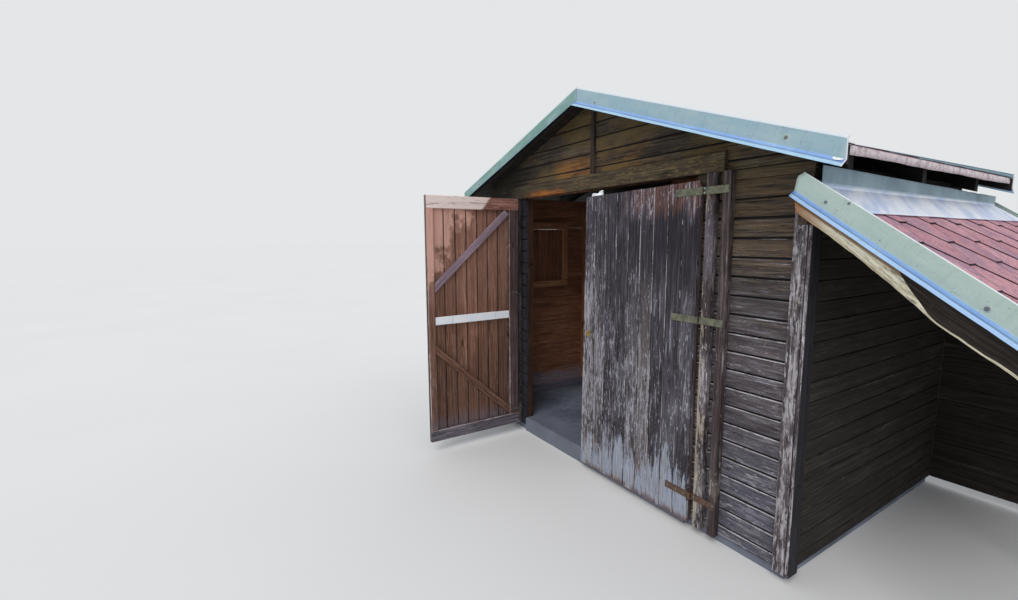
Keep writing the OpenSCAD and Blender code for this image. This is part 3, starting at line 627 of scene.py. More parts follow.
def concrete():
    Tree("concrete_slab")
    p = place()
    y = split(p)[1]
    cloud = noise(p, 6.0, 0.62, 2.4)
    small = noise(p, 5.0, 0.65, 22.0)
    grit = noise(p, 3.0, 0.7, 240.0)
    col = mix(cloud.ramp(0.36, 0.66), rgb(90, 98, 116), rgb(126, 134, 152))
    col = col.to(rgb(60, 62, 70), small.ramp(0.50, 0.70) * 0.5)
    # lighter towards the doorway: painted light that falls in through it
    col = col.to(rgb(142, 148, 162), (y + cloud * 0.5).ramp(-0.25, -0.75) * 0.45)
    col = col.to(rgb(60, 59, 63), (y + small * 0.08).fall(-0.90, -0.70) * 0.25)
    col = col.to(rgb(150, 151, 156), grit.ramp(0.60, 0.74) * 0.35)
    finish(col, small * 0.3 + 0.62, small + grit * 0.25, 0.003)


def iron(name, base, light, rust, low=None):
    """low is the colour of the lowest hinges."""
    Tree(name)
    p = place()
    cloud = noise(p, 5.0, 0.6, 30.0)
    speck = noise(p, 3.0, 0.7, 260.0)
    col = mix(cloud.ramp(0.35, 0.65), rgb(*base), rgb(*light))
    if low:
        low = rgb(*low)
        col = col.to(mix(cloud.ramp(0.35, 0.65), low, times(low, 1.5)), split(p)[2].ramp(0.42, 0.38))
    col = col.to(rgb(*rust), (speck + cloud * 0.4).ramp(0.76, 0.92) * 0.7)
    finish(col, speck * 0.3 + 0.42, speck + cloud * 0.6, 0.0008, metallic=0.45)


painted_wood()
# (114, 155, 146): the left slope's darker face, painted shade
metal_trim("verge_sheet", (150, 180, 192), (142, 178, 236), (174, 210, 236), (176, 194, 194),
           (114, 155, 146), 1.6695)
metal_trim("lean_to_verge_sheet", (172, 192, 184), (132, 170, 226), (172, 204, 244), (192, 204, 196))
flashing_metal()
# 0.62: how strong the painted tree shadow is
shingle_material("roof_shingles", (216, 158, 168), (194, 132, 144), (120, 88, 112), (216, 188, 198), 0.62)
# pale: dust and a painted highlight on the felt folded over the eaves
shingle_material("eave_felt", (232, 220, 224), (204, 188, 192), (92, 72, 78), (250, 244, 248))
# black bitumen on the tabs' sides, and painted shade on the rims round their tops
shingle_material("bitumen_edges_and_shade", (40, 24, 30), (32, 20, 26), (18, 12, 16), (60, 40, 46))
concrete()
iron("hinge_iron", (92, 94, 78), (124, 126, 106), (104, 72, 44), (88, 68, 56))
iron("screw_heads", (104, 110, 112), (140, 146, 148), (96, 78, 66))
iron("screw_washers", (164, 182, 180), (194, 208, 206), (140, 150, 146))
iron("brass_rose", (150, 122, 62), (184, 156, 92), (84, 64, 36))
iron("rusty_wire", (110, 96, 84), (140, 126, 112), (112, 70, 42))
# the keyhole's black: painted shade in the hole
iron("keyhole", (20, 18, 16), (30, 27, 24), (40, 30, 22))


# Mesh builders
class Build:
    """Collects boards, sheets and other shapes into one mesh with grain coordinates."""

    def __init__(self, name):
        self.name = name
        self.v, self.f, self.grain, self.tint, self.mat = [], [], [], [], []

    def add(self, verts, faces, grain=None, tint=0.5, mats=None):
        """faces index into verts and are turned to look outwards. grain holds one vector for each vert, or is
        the verts themselves. tint is one number or a list, and mats one material index for each face."""
        vol = 0.0
        base = Vector(verts[0])
        for f in faces:
            a, *rest = (Vector(verts[i]) - base for i in f)
            vol += sum(a.dot(c.cross(d)) for c, d in zip(rest, rest[1:]))
        if vol < 0:
            faces = [tuple(reversed(f)) for f in faces]
        k = len(self.v)
        self.v += [tuple(p) for p in verts]
        self.f += [tuple(i + k for i in f) for f in faces]
        self.grain += [tuple(q) for q in grain or verts]
        self.tint += tint if isinstance(tint, list) else [tint] * len(verts)
        self.mat += mats or [0] * len(faces)

    def done(self, node, slot, *materials, body="shed", smooth=False):
        """Makes the object, in place of the CAD node of that name if there is one."""
        me = bpy.data.meshes.new(self.name)
        me.from_pydata(self.v, [], self.f)
        me.validate()
        a = me.attributes.new("grain", "FLOAT_VECTOR", "POINT")
        a.data.foreach_set("vector", [c for q in self.grain for c in q])
        a = me.attributes.new("tint", "FLOAT", "POINT")
        a.data.foreach_set("value", self.tint)
        for m in materials:
            me.materials.append(M[m])
        if len(materials) > 1:
            me.polygons.foreach_set("material_index", self.mat)
        if smooth:
            me.polygons.foreach_set("use_smooth", [True] * len(me.polygons))
        o = bpy.data.objects.new(self.name, me)
        bpy.context.scene.collection.objects.link(o)
        if node:
            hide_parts(node)
        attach(o, body)
        return o


def facing(o, direction, index=1, least=0.5):
    """Gives the faces that look in a direction another material, apart from the joints of the cladding."""
    for p in o.data.polygons:
        if p.normal.dot(direction) > least and p.material_index != JOINT:
            p.material_index = index


def loft(b, rings, grain=None, tint=0.5, mat=0, edge_mats=None, back=False):
    """Joins rings of points into a closed skin. edge_mats gives single edges of the rings their own material;
    back says that the rings run the other way round."""
    n, last = len(rings[0]), len(rings) - 1
    steps = [(i * n, j, (j + 1) % n) for i in range(last) for j in range(n)]
    sides = [(i + j, i + k, i + n + k, i + n + j) for i, j, k in steps]
    ends = [tuple(range(n))[::-1], tuple(range(last * n, last * n + n))]
    if back:
        sides = [(p, s, r, q) for p, q, r, s in sides]
        ends = [f[::-1] for f in ends]
    mats = [(edge_mats or {}).get(j, mat) for i, j, k in steps] + [mat, mat]
    b.add([p for ring in rings for p in ring], sides + ends, grain, tint, mats)


def rim(cols, rows, at):
    """Indices round the edge of a grid of points, where at(i, j) is the index of one."""
    return ([at(i, 0) for i in range(cols + 1)] + [at(cols, j) for j in range(1, rows + 1)]
            + [at(i, rows) for i in range(cols - 1, -1, -1)] + [at(0, j) for j in range(rows - 1, 0, -1)])


def scrap(b, cols, rows, pair):
    """A thin bent scrap; pair(u, v) gives a point of its one skin and the point behind it."""
    pairs = [pair(i / cols, j / rows) for i in range(cols + 1) for j in range(rows + 1)]
    m, k = rows + 1, len(pairs)
    faces = []
    for i in range(cols):
        for j in range(rows):
            q = (i * m + j, (i + 1) * m + j, (i + 1) * m + j + 1, i * m + j + 1)
            faces += [q, tuple(a + k for a in reversed(q))]
    edge = rim(cols, rows, lambda i, j: i * m + j)
    faces += [(c, a, a + k, c + k) for a, c in zip(edge, edge[1:] + edge[:1])]
    b.add([p for p, q in pairs] + [q for p, q in pairs], faces)


def grain_shift():
    return rng.uniform(0, 40), rng.uniform(0, 9), rng.uniform(0, 9)


def plain_section(w, h, c=0.0025):
    return [(c, 0), (w - c, 0), (w, c), (w, h - c), (w - c, h), (c, h), (0, h - c), (0, c)]


def tongue_and_groove(w, h, gap, chamfer, back, tongue, lower=None):
    """Cross-section of a board that is w wide over its visible face and h thick. chamfer is that of its front
    edges, lower that of the lower one where it differs, and back that of its back edges. Edge 7 is the upper
    chamfer, edge 9 the lower one, and edges 6 and 10 the faces in the joint."""
    g = gap / 2
    deep = g + tongue + 0.001
    lower = lower or chamfer
    return [(g + back, 0), (w - g - back, 0), (w - g, back), (w - g, 0.36 * h), (w + tongue, 0.38 * h),
            (w + tongue, 0.56 * h), (w - g, 0.58 * h), (w - g, h - chamfer), (w - g - chamfer, h),
            (g + lower, h), (g, h - lower), (g, 0.62 * h), (deep, 0.60 * h), (deep, 0.34 * h), (g, 0.32 * h),
            (g, back)]


def board(b, origin, along, across, out, length, width, thick, bevel=0.0022, wobble=0.0, end0=None, end1=None,
          seg=6, mat=0, section=None, edge_mats=None):
    """A board with softened edges. origin is the corner at along = across = out = 0. end0 and end1 give the
    board's ends as functions of the place across it. section may replace the cross-section, as points in
    (across, out)."""
    along, across, out = (Vector(a).normalized() for a in (along, across, out))
    end0 = end0 or (lambda q: 0.0)
    end1 = end1 or (lambda q: length)
    shift = grain_shift()
    ph = [rng.uniform(0, 6.28) for _ in range(4)]
    rings, grain = [], []
    for i in range(seg + 1):
        rings.append([])
        for q, r in section or plain_section(width, thick, bevel):
            a = end0(q) + (end1(q) - end0(q)) * (i / seg)
            dq = wobble * (math.sin(2.1 * a + ph[0]) + 0.5 * math.sin(5.3 * a + ph[1]))
            dr = 0.35 * wobble * math.sin(3.1 * a + ph[2])
            rings[-1].append(Vector(origin) + along * a + across * (q + dq) + out * (r + dr))
            grain.append((a + shift[0], q + shift[1], r + shift[2]))
    loft(b, rings, grain, rng.random(), mat, edge_mats)


def box_board(b, xs, ys, zs, along, bevel=0.0025, wobble=0.0003, seg=6):
    """A straight board that fills a box, its grain along the given axis. ys count from the front wall."""
    low = Vector((min(xs), set_out(ys[0]), zs[0]))
    size = Vector((max(xs), set_out(ys[1]), zs[1])) - low
    wide, thin = sorted((i for i in range(3) if i != along), key=lambda i: -size[i])
    axes = (X, Y, Z)
    board(b, low, axes[along], axes[wide], axes[thin], size[along], size[wide], size[thin], bevel, wobble,
          seg=seg)


def disc(b, centre, normal, radius, height, seg=16, mat=0, cross=False):
    """Screw or bolt head: a low dome on a short rim, with a cross slot if wanted."""
    n = Vector(normal).normalized()
    u = n.orthogonal().normalized()
    w = n.cross(u)
    rings = [(1.0, 0.0), (1.0, 0.35), (0.9, 0.7), (0.6, 0.9), (0.3, 1.0)]
    verts, faces = [], []
    for share, up in rings:
        for i in range(seg):
            a = 2 * math.pi * i / seg
            slot = -0.45 * height if cross and share <= 0.6 and i % (seg // 4) == 0 else 0.0
            across = (u * math.cos(a) + w * math.sin(a)) * radius * share
            verts.append(Vector(centre) + across + n * (height * up + slot))
    last = (len(rings) - 1) * seg
    for r in range(0, last, seg):
        for i in range(seg):
            k = (i + 1) % seg
            faces.append((r + i, r + k, r + seg + k, r + seg + i))
    verts.append(Vector(centre) + n * height * (0.55 if cross else 1.0))
    faces += [(last + i, last + (i + 1) % seg, last + seg) for i in range(seg)]
    b.add(verts, faces, mats=[mat] * len(faces))


def tube(b, points, radius, seg=8):
    """A round wire along the points."""
    pts = [Vector(p) for p in points]
    rings = []
    for i, p in enumerate(pts):
        d = (pts[min(i + 1, len(pts) - 1)] - pts[max(i - 1, 0)]).normalized()
        u = d.cross(Vector((0.13, 0.21, 0.97))).normalized()
        w = d.cross(u)
        turns = [2 * math.pi * j / seg for j in range(seg)]
        rings.append([p + (u * math.cos(a) + w * math.sin(a)) * radius for a in turns])
    loft(b, rings, back=True)


# Cladding
LIP, JAMB, JOINT = 2, 3, 4
FRONT = ["cladding_front", "inside_boards", "cladding_front_edges", "door_jambs", "board_joints"]
FRONT_WALL = ((0, set_out(CLAD_T), 0), X, -Y)
BACK_WALL = ((0, set_out(SHED_D - CLAD_T), 0), X, Y)


def seams(z0, z1):
    """Board edges between z0 and z1, on the seams that the photo shows."""
    zs = [z0]
    k = math.ceil((z0 + 0.03 - SEAM) / BOARD)
    while SEAM + k * BOARD < z1 - 0.02:
        zs.append(SEAM + k * BOARD)
        k += 1
    return zs + [z1]


def clad(b, wall, z0, z1, end0, end1, skip=None, front=False):
    """Horizontal boards on a wall, which is its inner face at along = 0 and z = 0, the way along and the way
    out. end0 and end1 give the boards' ends at the height z. skip(low, high) returns further spans (from, to)
    in place of the whole. The front's boards have wider joints, and materials of their own on their edges."""
    place, along, out = wall
    zs = seams(z0, z1)
    for lo, hi in zip(zs, zs[1:]):
        w, high = hi - lo, lo > 1.9
        for e0, e1 in (skip and skip(lo, hi)) or [(end0, end1)]:
            t = CLAD_T - rng.uniform(0.0002, 0.0016)
            gap, lower, edges = 0.0016, None, None
            if front:
                gap = rng.uniform(0.0016, 0.0023) if high else rng.uniform(0.0046, 0.0060)
                lower = 0.0036 if high else 0.0066
                edges = {**dict.fromkeys((4, 5, 6, 9, 10, 11, 12, 13), JOINT), 7: LIP}
            section = tongue_and_groove(w, t, gap, rng.uniform(0.0036, 0.0052), 0.0020, 0.0072, lower)
            if hi == zs[-1]:
                section, edges = plain_section(w + 0.0008, t), None
            board(b, Vector(place) + Vector((0, 0, lo)), along, Z, out, 1.0, w, t, wobble=0.0005, seg=8,
                  end0=lambda q: e0(lo + min(q, w)), end1=lambda q: e1(lo + min(q, w)), section=section,
                  edge_mats=edges)


def const(v):
    return lambda z: v


def gable_end(side):
    roof = ROOF[side]
    return lambda z: side * max(0.004, min(HALF - 0.001, (roof.height(0, DECK_LOW - 0.0012) - z) / roof.tan))


for word, side, x0, x1 in (("left", 1, -HALF + 0.001, -DOOR - 0.0008),
                           ("right", -1, DOOR + 0.0008, HALF - 0.001)):
    b = Build("cladding_front_" + word)
    clad(b, FRONT_WALL, CLAD_LOW, HEAD_Z - 0.0005, const(x0), const(x1), front=True)
    o = b.done("front_wall_" + word, "cladding", *FRONT)
    facing(o, Y)
    # the board ends in the doorway get the dark wood of painted shade
    facing(o, side * X, JAMB)

apex = ROOF[1].height(0.02, DECK_LOW) - 0.004
b = Build("cladding_gable")
clad(b, FRONT_WALL, HEAD_Z, apex, gable_end(-1), gable_end(1), front=True)
facing(b.done("front_gable", "cladding", *FRONT), Y)
b = Build("cladding_back")
clad(b, BACK_WALL, CLAD_LOW, apex, gable_end(-1), gable_end(1))
facing(b.done("back_wall", "cladding", "cladding_back", "inside_boards"), -Y)

y_front, y_back = set_out(CLAD_T) + 0.0005, set_out(SHED_D - CLAD_T) - 0.0005


def beside_window(lo, hi):
    if hi <= WIN_Z + 0.001 or lo >= WIN_Z + WIN_H - 0.001:
        return None
    return [(const(y_front), const(set_out(WIN_Y - WIN_W / 2))),
            (const(set_out(WIN_Y + WIN_W / 2)), const(y_back))]


b = Build("cladding_left")
steps = [CLAD_LOW, WIN_Z, WIN_Z + WIN_H, ROOF[-1].height(HALF, RAFTER_LOW) - 0.0005]
for lo, hi in zip(steps, steps[1:]):
    clad(b, ((-WALL_IN, 0, 0), Y, -X), lo, hi, const(y_front), const(y_back), skip=beside_window)
facing(b.done("left_wall", "cladding", "cladding_back", "inside_boards"), X)
b = Build("cladding_right")
top = ROOF[1].height(HALF, RAFTER_LOW) - 0.0005
clad(b, ((WALL_IN, 0, 0), Y, X), CLAD_LOW, top, const(y_front), const(y_back))
facing(b.done("right_wall", "cladding", "cladding_side", "inside_boards"), -X)

# Lean-to back wall, its boards cut round the ledger and the eave beam
BEAM_X = HALF + LEAN_W - 0.070 - BEAM_T
BEAM_TOP = LEAN.height(BEAM_X, RAFTER_LOW)
LEDGER_TOP = LEAN.height(HALF, RAFTER_LOW) + 0.020


def lean_back_end(z):
    x = HALF + (LEAN.height(HALF, DECK_LOW - 0.0015) - z) / LEAN.tan
    return max(HALF + 0.045, min(BEAM_X + BEAM_T - 0.001, x))


def lean_back_spans(lo, hi):
    start = HALF + (0.041 if hi > LEDGER_TOP - RAIL_H and lo < LEDGER_TOP else 0.001)
    beside_beam = hi > BEAM_TOP - RAIL_H and lo < BEAM_TOP
    return [(const(start), const(BEAM_X - 0.001) if beside_beam else lean_back_end)]


b = Build("lean_to_back_boards")
clad(b, BACK_WALL, CLAD_LOW, LEAN.height(HALF + 0.06, DECK_LOW), None, None, skip=lean_back_spans)
b.done("lean_back_wall", "cladding", "cladding_side")

# Corner boards, casings and the board over the doors
b = Build("corner_trim")
left_top = ROOF[-1].height(HALF + TRIM_T, RAFTER_LOW) - 0.004
right_top = LEAN.height(HALF, DECK_LOW - 0.060)
post = dict(along=2, seg=12, bevel=0.003)
for ys, side_ys in (((-TRIM_T, 0.0), (-TRIM_T, CORNER_W)),
                    ((SHED_D, SHED_D + TRIM_T), (SHED_D - CORNER_W, SHED_D + TRIM_T))):
    for x0, top in ((-HALF, left_top), (HALF - CORNER_W, right_top)):
        box_board(b, (x0, x0 + CORNER_W), ys, (CORNER_LOW, top), **post)
    box_board(b, (-HALF - TRIM_T, -HALF), side_ys, (CORNER_LOW, left_top), **post)
box_board(b, (HALF, HALF + TRIM_T), (-TRIM_T, CORNER_W), (CORNER_LOW, LEDGER_TOP - RAIL_H), **post)
# their sides that look to the right get painted shade
facing(b.done("corner_boards", "trim_boards", "corner_boards", "corner_boards_side"), X)

head_half = 0.914 + 0.036 + HANG_W + CASING_GAP - 0.006
b = Build("head_board_over_doors")
box_board(b, (-head_half, head_half), (-HEAD_T, 0), (HEAD_Z, HEAD_Z + HEAD_H), 0, 0.004, 0.0006, 16)
b.done("head_board", "trim_boards", "head_board")

b = Build("gable_strip_board")
board(b, (-0.018, set_out(0), HEAD_Z + HEAD_H), Z, X, -Y, 1.0, 0.036, TRIM_T, seg=8, wobble=0.0006,
      end1=lambda q: ROOF[1 if q > 0.018 else -1].height(abs(q - 0.018), DECK_LOW) - 0.0015 - HEAD_Z - HEAD_H)
b.done("gable_strip", "trim_boards", "gable_strip")

beside_pin = 0.018
for name, node, x, wide in (("hinge_upright_posts", "hinge_uprights", beside_pin, HANG_W),
                            ("door_casing_boards", "door_casings", beside_pin + HANG_W + CASING_GAP, CASING_W)):
    b = Build(name)
    zs = (CLAD_LOW, HEAD_Z - 0.0005)
    for s in (-1, 1):
        x0 = PIN[s] + x
        box_board(b, (s * x0, s * (x0 + wide)), (-HANG_T, 0), zs, 2, 0.004, 0.0008, 16)
    b.done(node, "trim_boards", "trim_boards")

# Frame timber
inner, outer = WALL_IN - STUD, WALL_IN
front_in, back_in = CLAD_T, SHED_D - CLAD_T
b = Build("sills")
zs = (FLOOR_T, FLOOR_T + SILL_H)
for s in (-1, 1):
    box_board(b, (s * inner, s * outer), (front_in, back_in), zs, 1)
    box_board(b, (s * (DOOR + STUD), s * inner), (front_in, front_in + STUD), zs, 0)
box_board(b, (-inner, inner), (back_in - STUD, back_in), zs, 0)
b.done("sill_beams", "frame_timber", "sill_timber")

plate_top = {s: ROOF[s].height(WALL_IN, RAFTER_LOW) + 0.018 for s in (-1, 1)}
b = Build("wall_studs")
for s in (-1, 1):
    for y in (front_in, SHED_D * 0.62 - STUD / 2, back_in - STUD):
        box_board(b, (s * inner, s * outer), (y, y + STUD), (zs[1], plate_top[s] - PLATE_H), 2)
    x = s * BACK_POST_X
    top = ROOF[s].height(BACK_POST_X + STUD, RAFTER_LOW)
    box_board(b, (x - STUD / 2, x + STUD / 2), (back_in - STUD, back_in), (zs[1], top), 2)
b.done("wall_posts", "frame_timber", "inside_light_wood")
b = Build("plates")
for s in (-1, 1):
    box_board(b, (s * inner, s * outer), (front_in, back_in), (plate_top[s] - PLATE_H, plate_top[s]), 1)
o = b.done("wall_plates", "frame_timber", "roof_boards", "inside_boards")
for p in o.data.polygons:
    if p.normal.z < -0.5 or p.normal.x * (1 if p.center.x < 0 else -1) > 0.5:
        p.material_index = 1
b = Build("door_jambs")
for s in (-1, 1):
    box_board(b, (s * DOOR, s * (DOOR + STUD)), (front_in, front_in + STUD), (FLOOR_T, HEAD_Z), **post)
b.done("door_posts", "frame_timber", "inside_dark_wood")
b = Build("header_beam")
top = ROOF[1].height(inner, DECK_LOW) - 0.018
box_board(b, (-inner, inner), (front_in, front_in + STUD), (HEAD_Z, top), 0, bevel=0.003)
b.done("door_header", "frame_timber", "frame_timber")
b = Build("ridge_timber")
top = ROOF[1].height(0.030, DECK_LOW)
box_board(b, (-0.030, 0.030), (front_in, back_in), (top - 0.140, top - 0.001), 1)
b.done("ridge_beam", "frame_timber", "frame_timber")

# Roof boards
roof_front, roof_back = -VERGE + SHEET, SHED_D + VERGE - SHEET
lean_front, lean_back = -LEAN_FRONT + SHEET, SHED_D + LEAN_BACK - SHEET


def roof_boards(name, node, roof, s0, s1, y0, y1, thick=DECK_T):
    b = Build(name)
    s = s0
    while s < s1 - 0.01:
        w = min(0.118 * rng.uniform(0.93, 1.07), s1 - s)
        if s1 - s - w < 0.03:
            w = s1 - s
        t = thick - rng.uniform(0.0, 0.0012)
        board(b, roof(s + 0.0006, y0, DECK_LOW + thick - t), Y, roof.down, roof.up, y1 - y0, w - 0.0014, t,
              0.0016, 0.0002, seg=5)
        s += w
    b.done(node, "roof_boards", "roof_boards")


# the boards of both slopes meet over the ridge beam
for side, word in SIDES:
    roof = ROOF[side]
    roof_boards("deck_" + word, "roof_deck_" + word, roof, 0.020 * roof.tan, ROOF_HALF / roof.cos,
                roof_front + BARGE_T, roof_back - BARGE_T)
roof_boards("deck_lean_to", "lean_deck", LEAN, 0.042, LEAN_LEN + 0.020, lean_front, lean_back,
            DECK_T - 0.0002)

# barge boards behind the metal trims, with plumb cuts at the ridge and at the eave
b = Build("barge")
low = DECK_TOP - BARGE_H
for y in (roof_front, roof_back - BARGE_T):
    for roof in (ROOF[-1], ROOF[1]):
        length = ROOF_HALF / roof.cos
        board(b, roof(0, y, low), roof.down, roof.up, Y, length, BARGE_H, BARGE_T, 0.002, 0.0004, seg=10,
              end0=lambda q: -(low + q) * roof.tan + 0.0005, end1=lambda q: length - (low + q) * roof.tan)
b.done("barge_boards", "trim_boards", "roof_boards")


# Shingles
def clip(poly, axis, limit, keep_below):
    sign = 1 if keep_below else -1
    out = []
    for i, p in enumerate(poly):
        q = poly[(i + 1) % len(poly)]
        a, c = sign * (p[axis] - limit), sign * (q[axis] - limit)
        if a <= 0:
            out.append(p)
        if a * c < 0:
            t = a / (a - c)
            out.append(tuple(p[i] + (q[i] - p[i]) * t for i in range(2)))
    return out


def hex_tab(centre, tip):
    """Outline (y, s) of one shingle tab whose flat lower edge is at tip."""
    a, c, h = FLAT / 2, FLAT / 2 + 0.087, PERIOD / 2 - 0.0008
    top = tip - 2 * COURSE - 0.040
    return [(centre - a, tip), (centre + a, tip), (centre + c, tip - COURSE), (centre + h, tip - COURSE),
            (centre + h, top), (centre - h, top), (centre - h, tip - COURSE), (centre - c, tip - COURSE)]


def add_tab(b, roof, outline, centre, tip):
    """One tab, raised and curled at its tip, with a dark rim round its top: painted shade along its edges.
    Nothing uses the second of the three draws."""
    tone, spare, curl = rng.random(), rng.random(), rng.uniform(-0.0006, 0.0010)
    top, low = [], []
    for y, s in outline:
        v = DECK_TOP + 0.0090 - 0.0078 * (tip - s) / (2 * COURSE) - 0.0004
        if s > tip - 0.3 * COURSE:
            v -= curl * (1 if y > centre else -1) + 0.0006
        v = min(v, DECK_TOP + 0.0090)
        top.append(roof(s, y, v))
        low.append(roof(s, y, v - 0.0046))
    n = len(outline)
    middle = sum(top, Vector((0, 0, 0))) / n
    # the rim: painted shade along the tab's edges
    inner = [a + (middle - a).normalized() * min(0.0042, 0.4 * (middle - a).length) for a in top]
    faces = [tuple(range(2 * n, 3 * n)), tuple(range(2 * n - 1, n - 1, -1))]
    for i in range(n):
        k = (i + 1) % n
        faces += [(k, i, i + n, k + n), (i, k, k + 2 * n, i + 2 * n)]
    b.add(top + low + inner, faces, [(s, y, 0.0) for y, s in outline] * 3, tone, [0, 0] + [1, 1] * n)


def shingle_roof(name, node, roof, s_min, s_max, y_min, y_max, phase, first_tip):
    """Rows of hexagonal tabs; each row lies on the one below it."""
    b = Build(name)
    row, tip = 0, first_tip
    while tip > s_min - COURSE:
        y = y_min - PERIOD + ((phase + row * PERIOD / 2) % PERIOD)
        while y < y_max + PERIOD:
            outline = hex_tab(y, tip)
            for limit in ((0, y_min, False), (0, y_max, True), (1, s_min, False), (1, s_max, True)):
                outline = clip(outline, *limit)
            if len(outline) >= 3:
                add_tab(b, roof, outline, y, tip)
            y += PERIOD
        row, tip = row + 1, tip - COURSE
    # starter strip under the lowest row, seen between its tabs
    y = y_min
    while y < y_max - 0.01:
        y1 = min(y + 0.998, y_max)
        s0, s1, y_end = s_max - 0.19, s_max - 0.0006, y1 - 0.002
        corners = [(s0, y), (s1, y), (s1, y_end), (s0, y_end)]
        rings = [[roof(s, p, DECK_TOP + v) for s, p in corners] for v in (0.0030, 0.0003)]
        loft(b, rings, [(p, s, 0.0) for s, p in corners] * 2, 0.9, back=True)
        y = y1
    b.done(node, "shingles", "roof_shingles", "bitumen_edges_and_shade")


for side, word in SIDES:
    s_max = (ROOF_HALF + 0.008) / ROOF[side].cos - 0.012
    shingle_roof("tabs_" + word, "shingles_" + word, ROOF[side], 0.012, s_max, roof_front + 0.001,
                 roof_back - 0.001, 0.05 if side > 0 else 0.19, s_max)
shingle_roof("tabs_lean_to", "lean_shingles", LEAN, 0.030, LEAN_LEN + 0.007, lean_front + 0.001,
             lean_back - 0.001, 0.150, 0.088 + 9 * COURSE)

# the felt of the lowest row folded down over the boards' ends at both eaves
for side, word in SIDES:
    b = Build("eave_felt_" + word)
    roof = ROOF[side]
    edge = ROOF_HALF / roof.cos
    y0, y1 = roof_front + 0.003, roof_back - 0.003
    count = 120
    r = random.Random(60 + side)
    ph = [r.uniform(0, 6.28) for _ in range(4)]
    rings, grain = [], []
    for i in range(count + 1):
        y = y0 + (y1 - y0) * i / count
        hang = 0.036 + 0.0016 * math.sin(7 * y + ph[0]) + 0.0008 * math.sin(23 * y + ph[1])
        puff = 0.0009 * (1 + math.sin(5 * y + ph[2])) + 0.0004 * math.sin(31 * y + ph[3])
        top = roof(edge - 0.020, y, DECK_TOP + 0.0012)
        lip = roof(edge + 0.0018, y, DECK_TOP + 0.0006)
        fold = [(0.0008 + puff, -0.5 * hang), (0.5 * puff, -hang), (0.5 * puff - 0.0022, -hang),
                (puff - 0.0016, -0.5 * hang), (-0.0024, -0.0040)]
        folded = [lip + Vector((side * out, 0, drop)) for out, drop in fold]
        rings.append([top, lip, *folded, top - roof.up * 0.0018])
        grain += [(y, 0.01 * k, 0.0) for k in range(8)]
    loft(b, rings, grain)
    b.done(None, "shingles", "eave_felt", smooth=True)

# folded strips over the ridge, each on the next one
b = Build("ridge_tabs")
CAP_W, CAP_L = 0.110, 0.26
cap0, cap1 = -VERGE + 0.062, SHED_D + VERGE - 0.062
y = cap1 - CAP_L
while y > cap0 - CAP_L:
    rings = []
    for x in (-CAP_W, -0.060, -0.018, 0.0, 0.018, 0.060, CAP_W):
        z = ROOF[1 if x > 0 else -1].height(abs(x), -TRIM_UP) + 0.0076 - (0.0 if x else 0.0014)
        ends = max(y, cap0), min(y + CAP_L, cap1)
        edge = [Vector((x, set_out(p), z - 0.0036 * (p - y) / CAP_L)) for p in ends]
        rings.append(edge + [p - Vector((0, 0, 0.0034)) for p in reversed(edge)])
    loft(b, rings, tint=rng.random(), back=True)
    y -= 0.15
b.done("ridge_cap", "shingles", "roof_shingles")


# Bent sheets
def rounded(path, radius=0.003, steps=3):
    """A polyline with its inner corners rounded off."""
    pts = [Vector(p) for p in path]
    out = [pts[0]]
    for a, p, c in zip(pts, pts[1:], pts[2:]):
        u, w = (a - p), (c - p)
        r = min(radius, 0.45 * u.length, 0.45 * w.length)
        u, w = u.normalized() * r, w.normalized() * r
        for i in range(steps + 1):
            t = i / steps
            out.append((p + u) * (1 - t) ** 2 + p * 2 * t * (1 - t) + (p + w) * t * t)
    return out + [pts[-1]]


def stepped(path, step):
    """The polyline with further points on its long parts."""
    out = []
    for p, q in zip(path, path[1:]):
        m = max(1, int((q - p).length / step))
        out += [p + (q - p) * (i / m) for i in range(m)]
    return out + [path[-1]]


def sheet_strip(b, profile, mapper, thick, ends, tags=None, seg=24, warp=None):
    """Bends a sheet to profile, points (y, v), and runs it along s through mapper(s, y, v). ends(y, v) gives
    its two end cuts, and tags each point's tint. thick is on the left of the profile's direction."""
    n = len(profile)
    pts = [Vector(p) for p in profile]
    side, dist = [], [0.0]
    for i in range(n):
        d = (pts[min(i + 1, n - 1)] - pts[max(i - 1, 0)]).normalized()
        side.append(Vector((-d.y, d.x)))
    for p, q in zip(pts, pts[1:]):
        dist.append(dist[-1] + (q - p).length)
    verts, grain = [], []
    for j in range(seg + 1):
        for layer in (0, thick):
            for i in range(n):
                p = pts[i] + side[i] * layer
                a, c = ends(p.x, p.y)
                s = a + (c - a) * (j / seg)
                dy, dv = warp(s, i / (n - 1), p) if warp else (0.0, 0.0)
                verts.append(mapper(s, p.x + dy, p.y + dv))
                grain.append((s, dist[i], 0.0))
    faces = []
    m = 2 * n
    for j in range(seg):
        o, q = j * m, (j + 1) * m
        for i in range(n - 1):
            faces.append((o + i, o + i + 1, q + i + 1, q + i))
            faces.append((o + n + i + 1, o + n + i, q + n + i, q + n + i + 1))
        faces += [(o + n, o, q, q + n), (o + n - 1, o + m - 1, q + m - 1, q + n - 1)]
    for o in (0, seg * m):
        cut = [(o + i + 1, o + i, o + n + i, o + n + i + 1) for i in range(n - 1)]
        faces += [f[::-1] for f in cut] if o else cut
    b.add(verts, faces, grain, list(tags or [0.0] * n) * (2 * (seg + 1)))


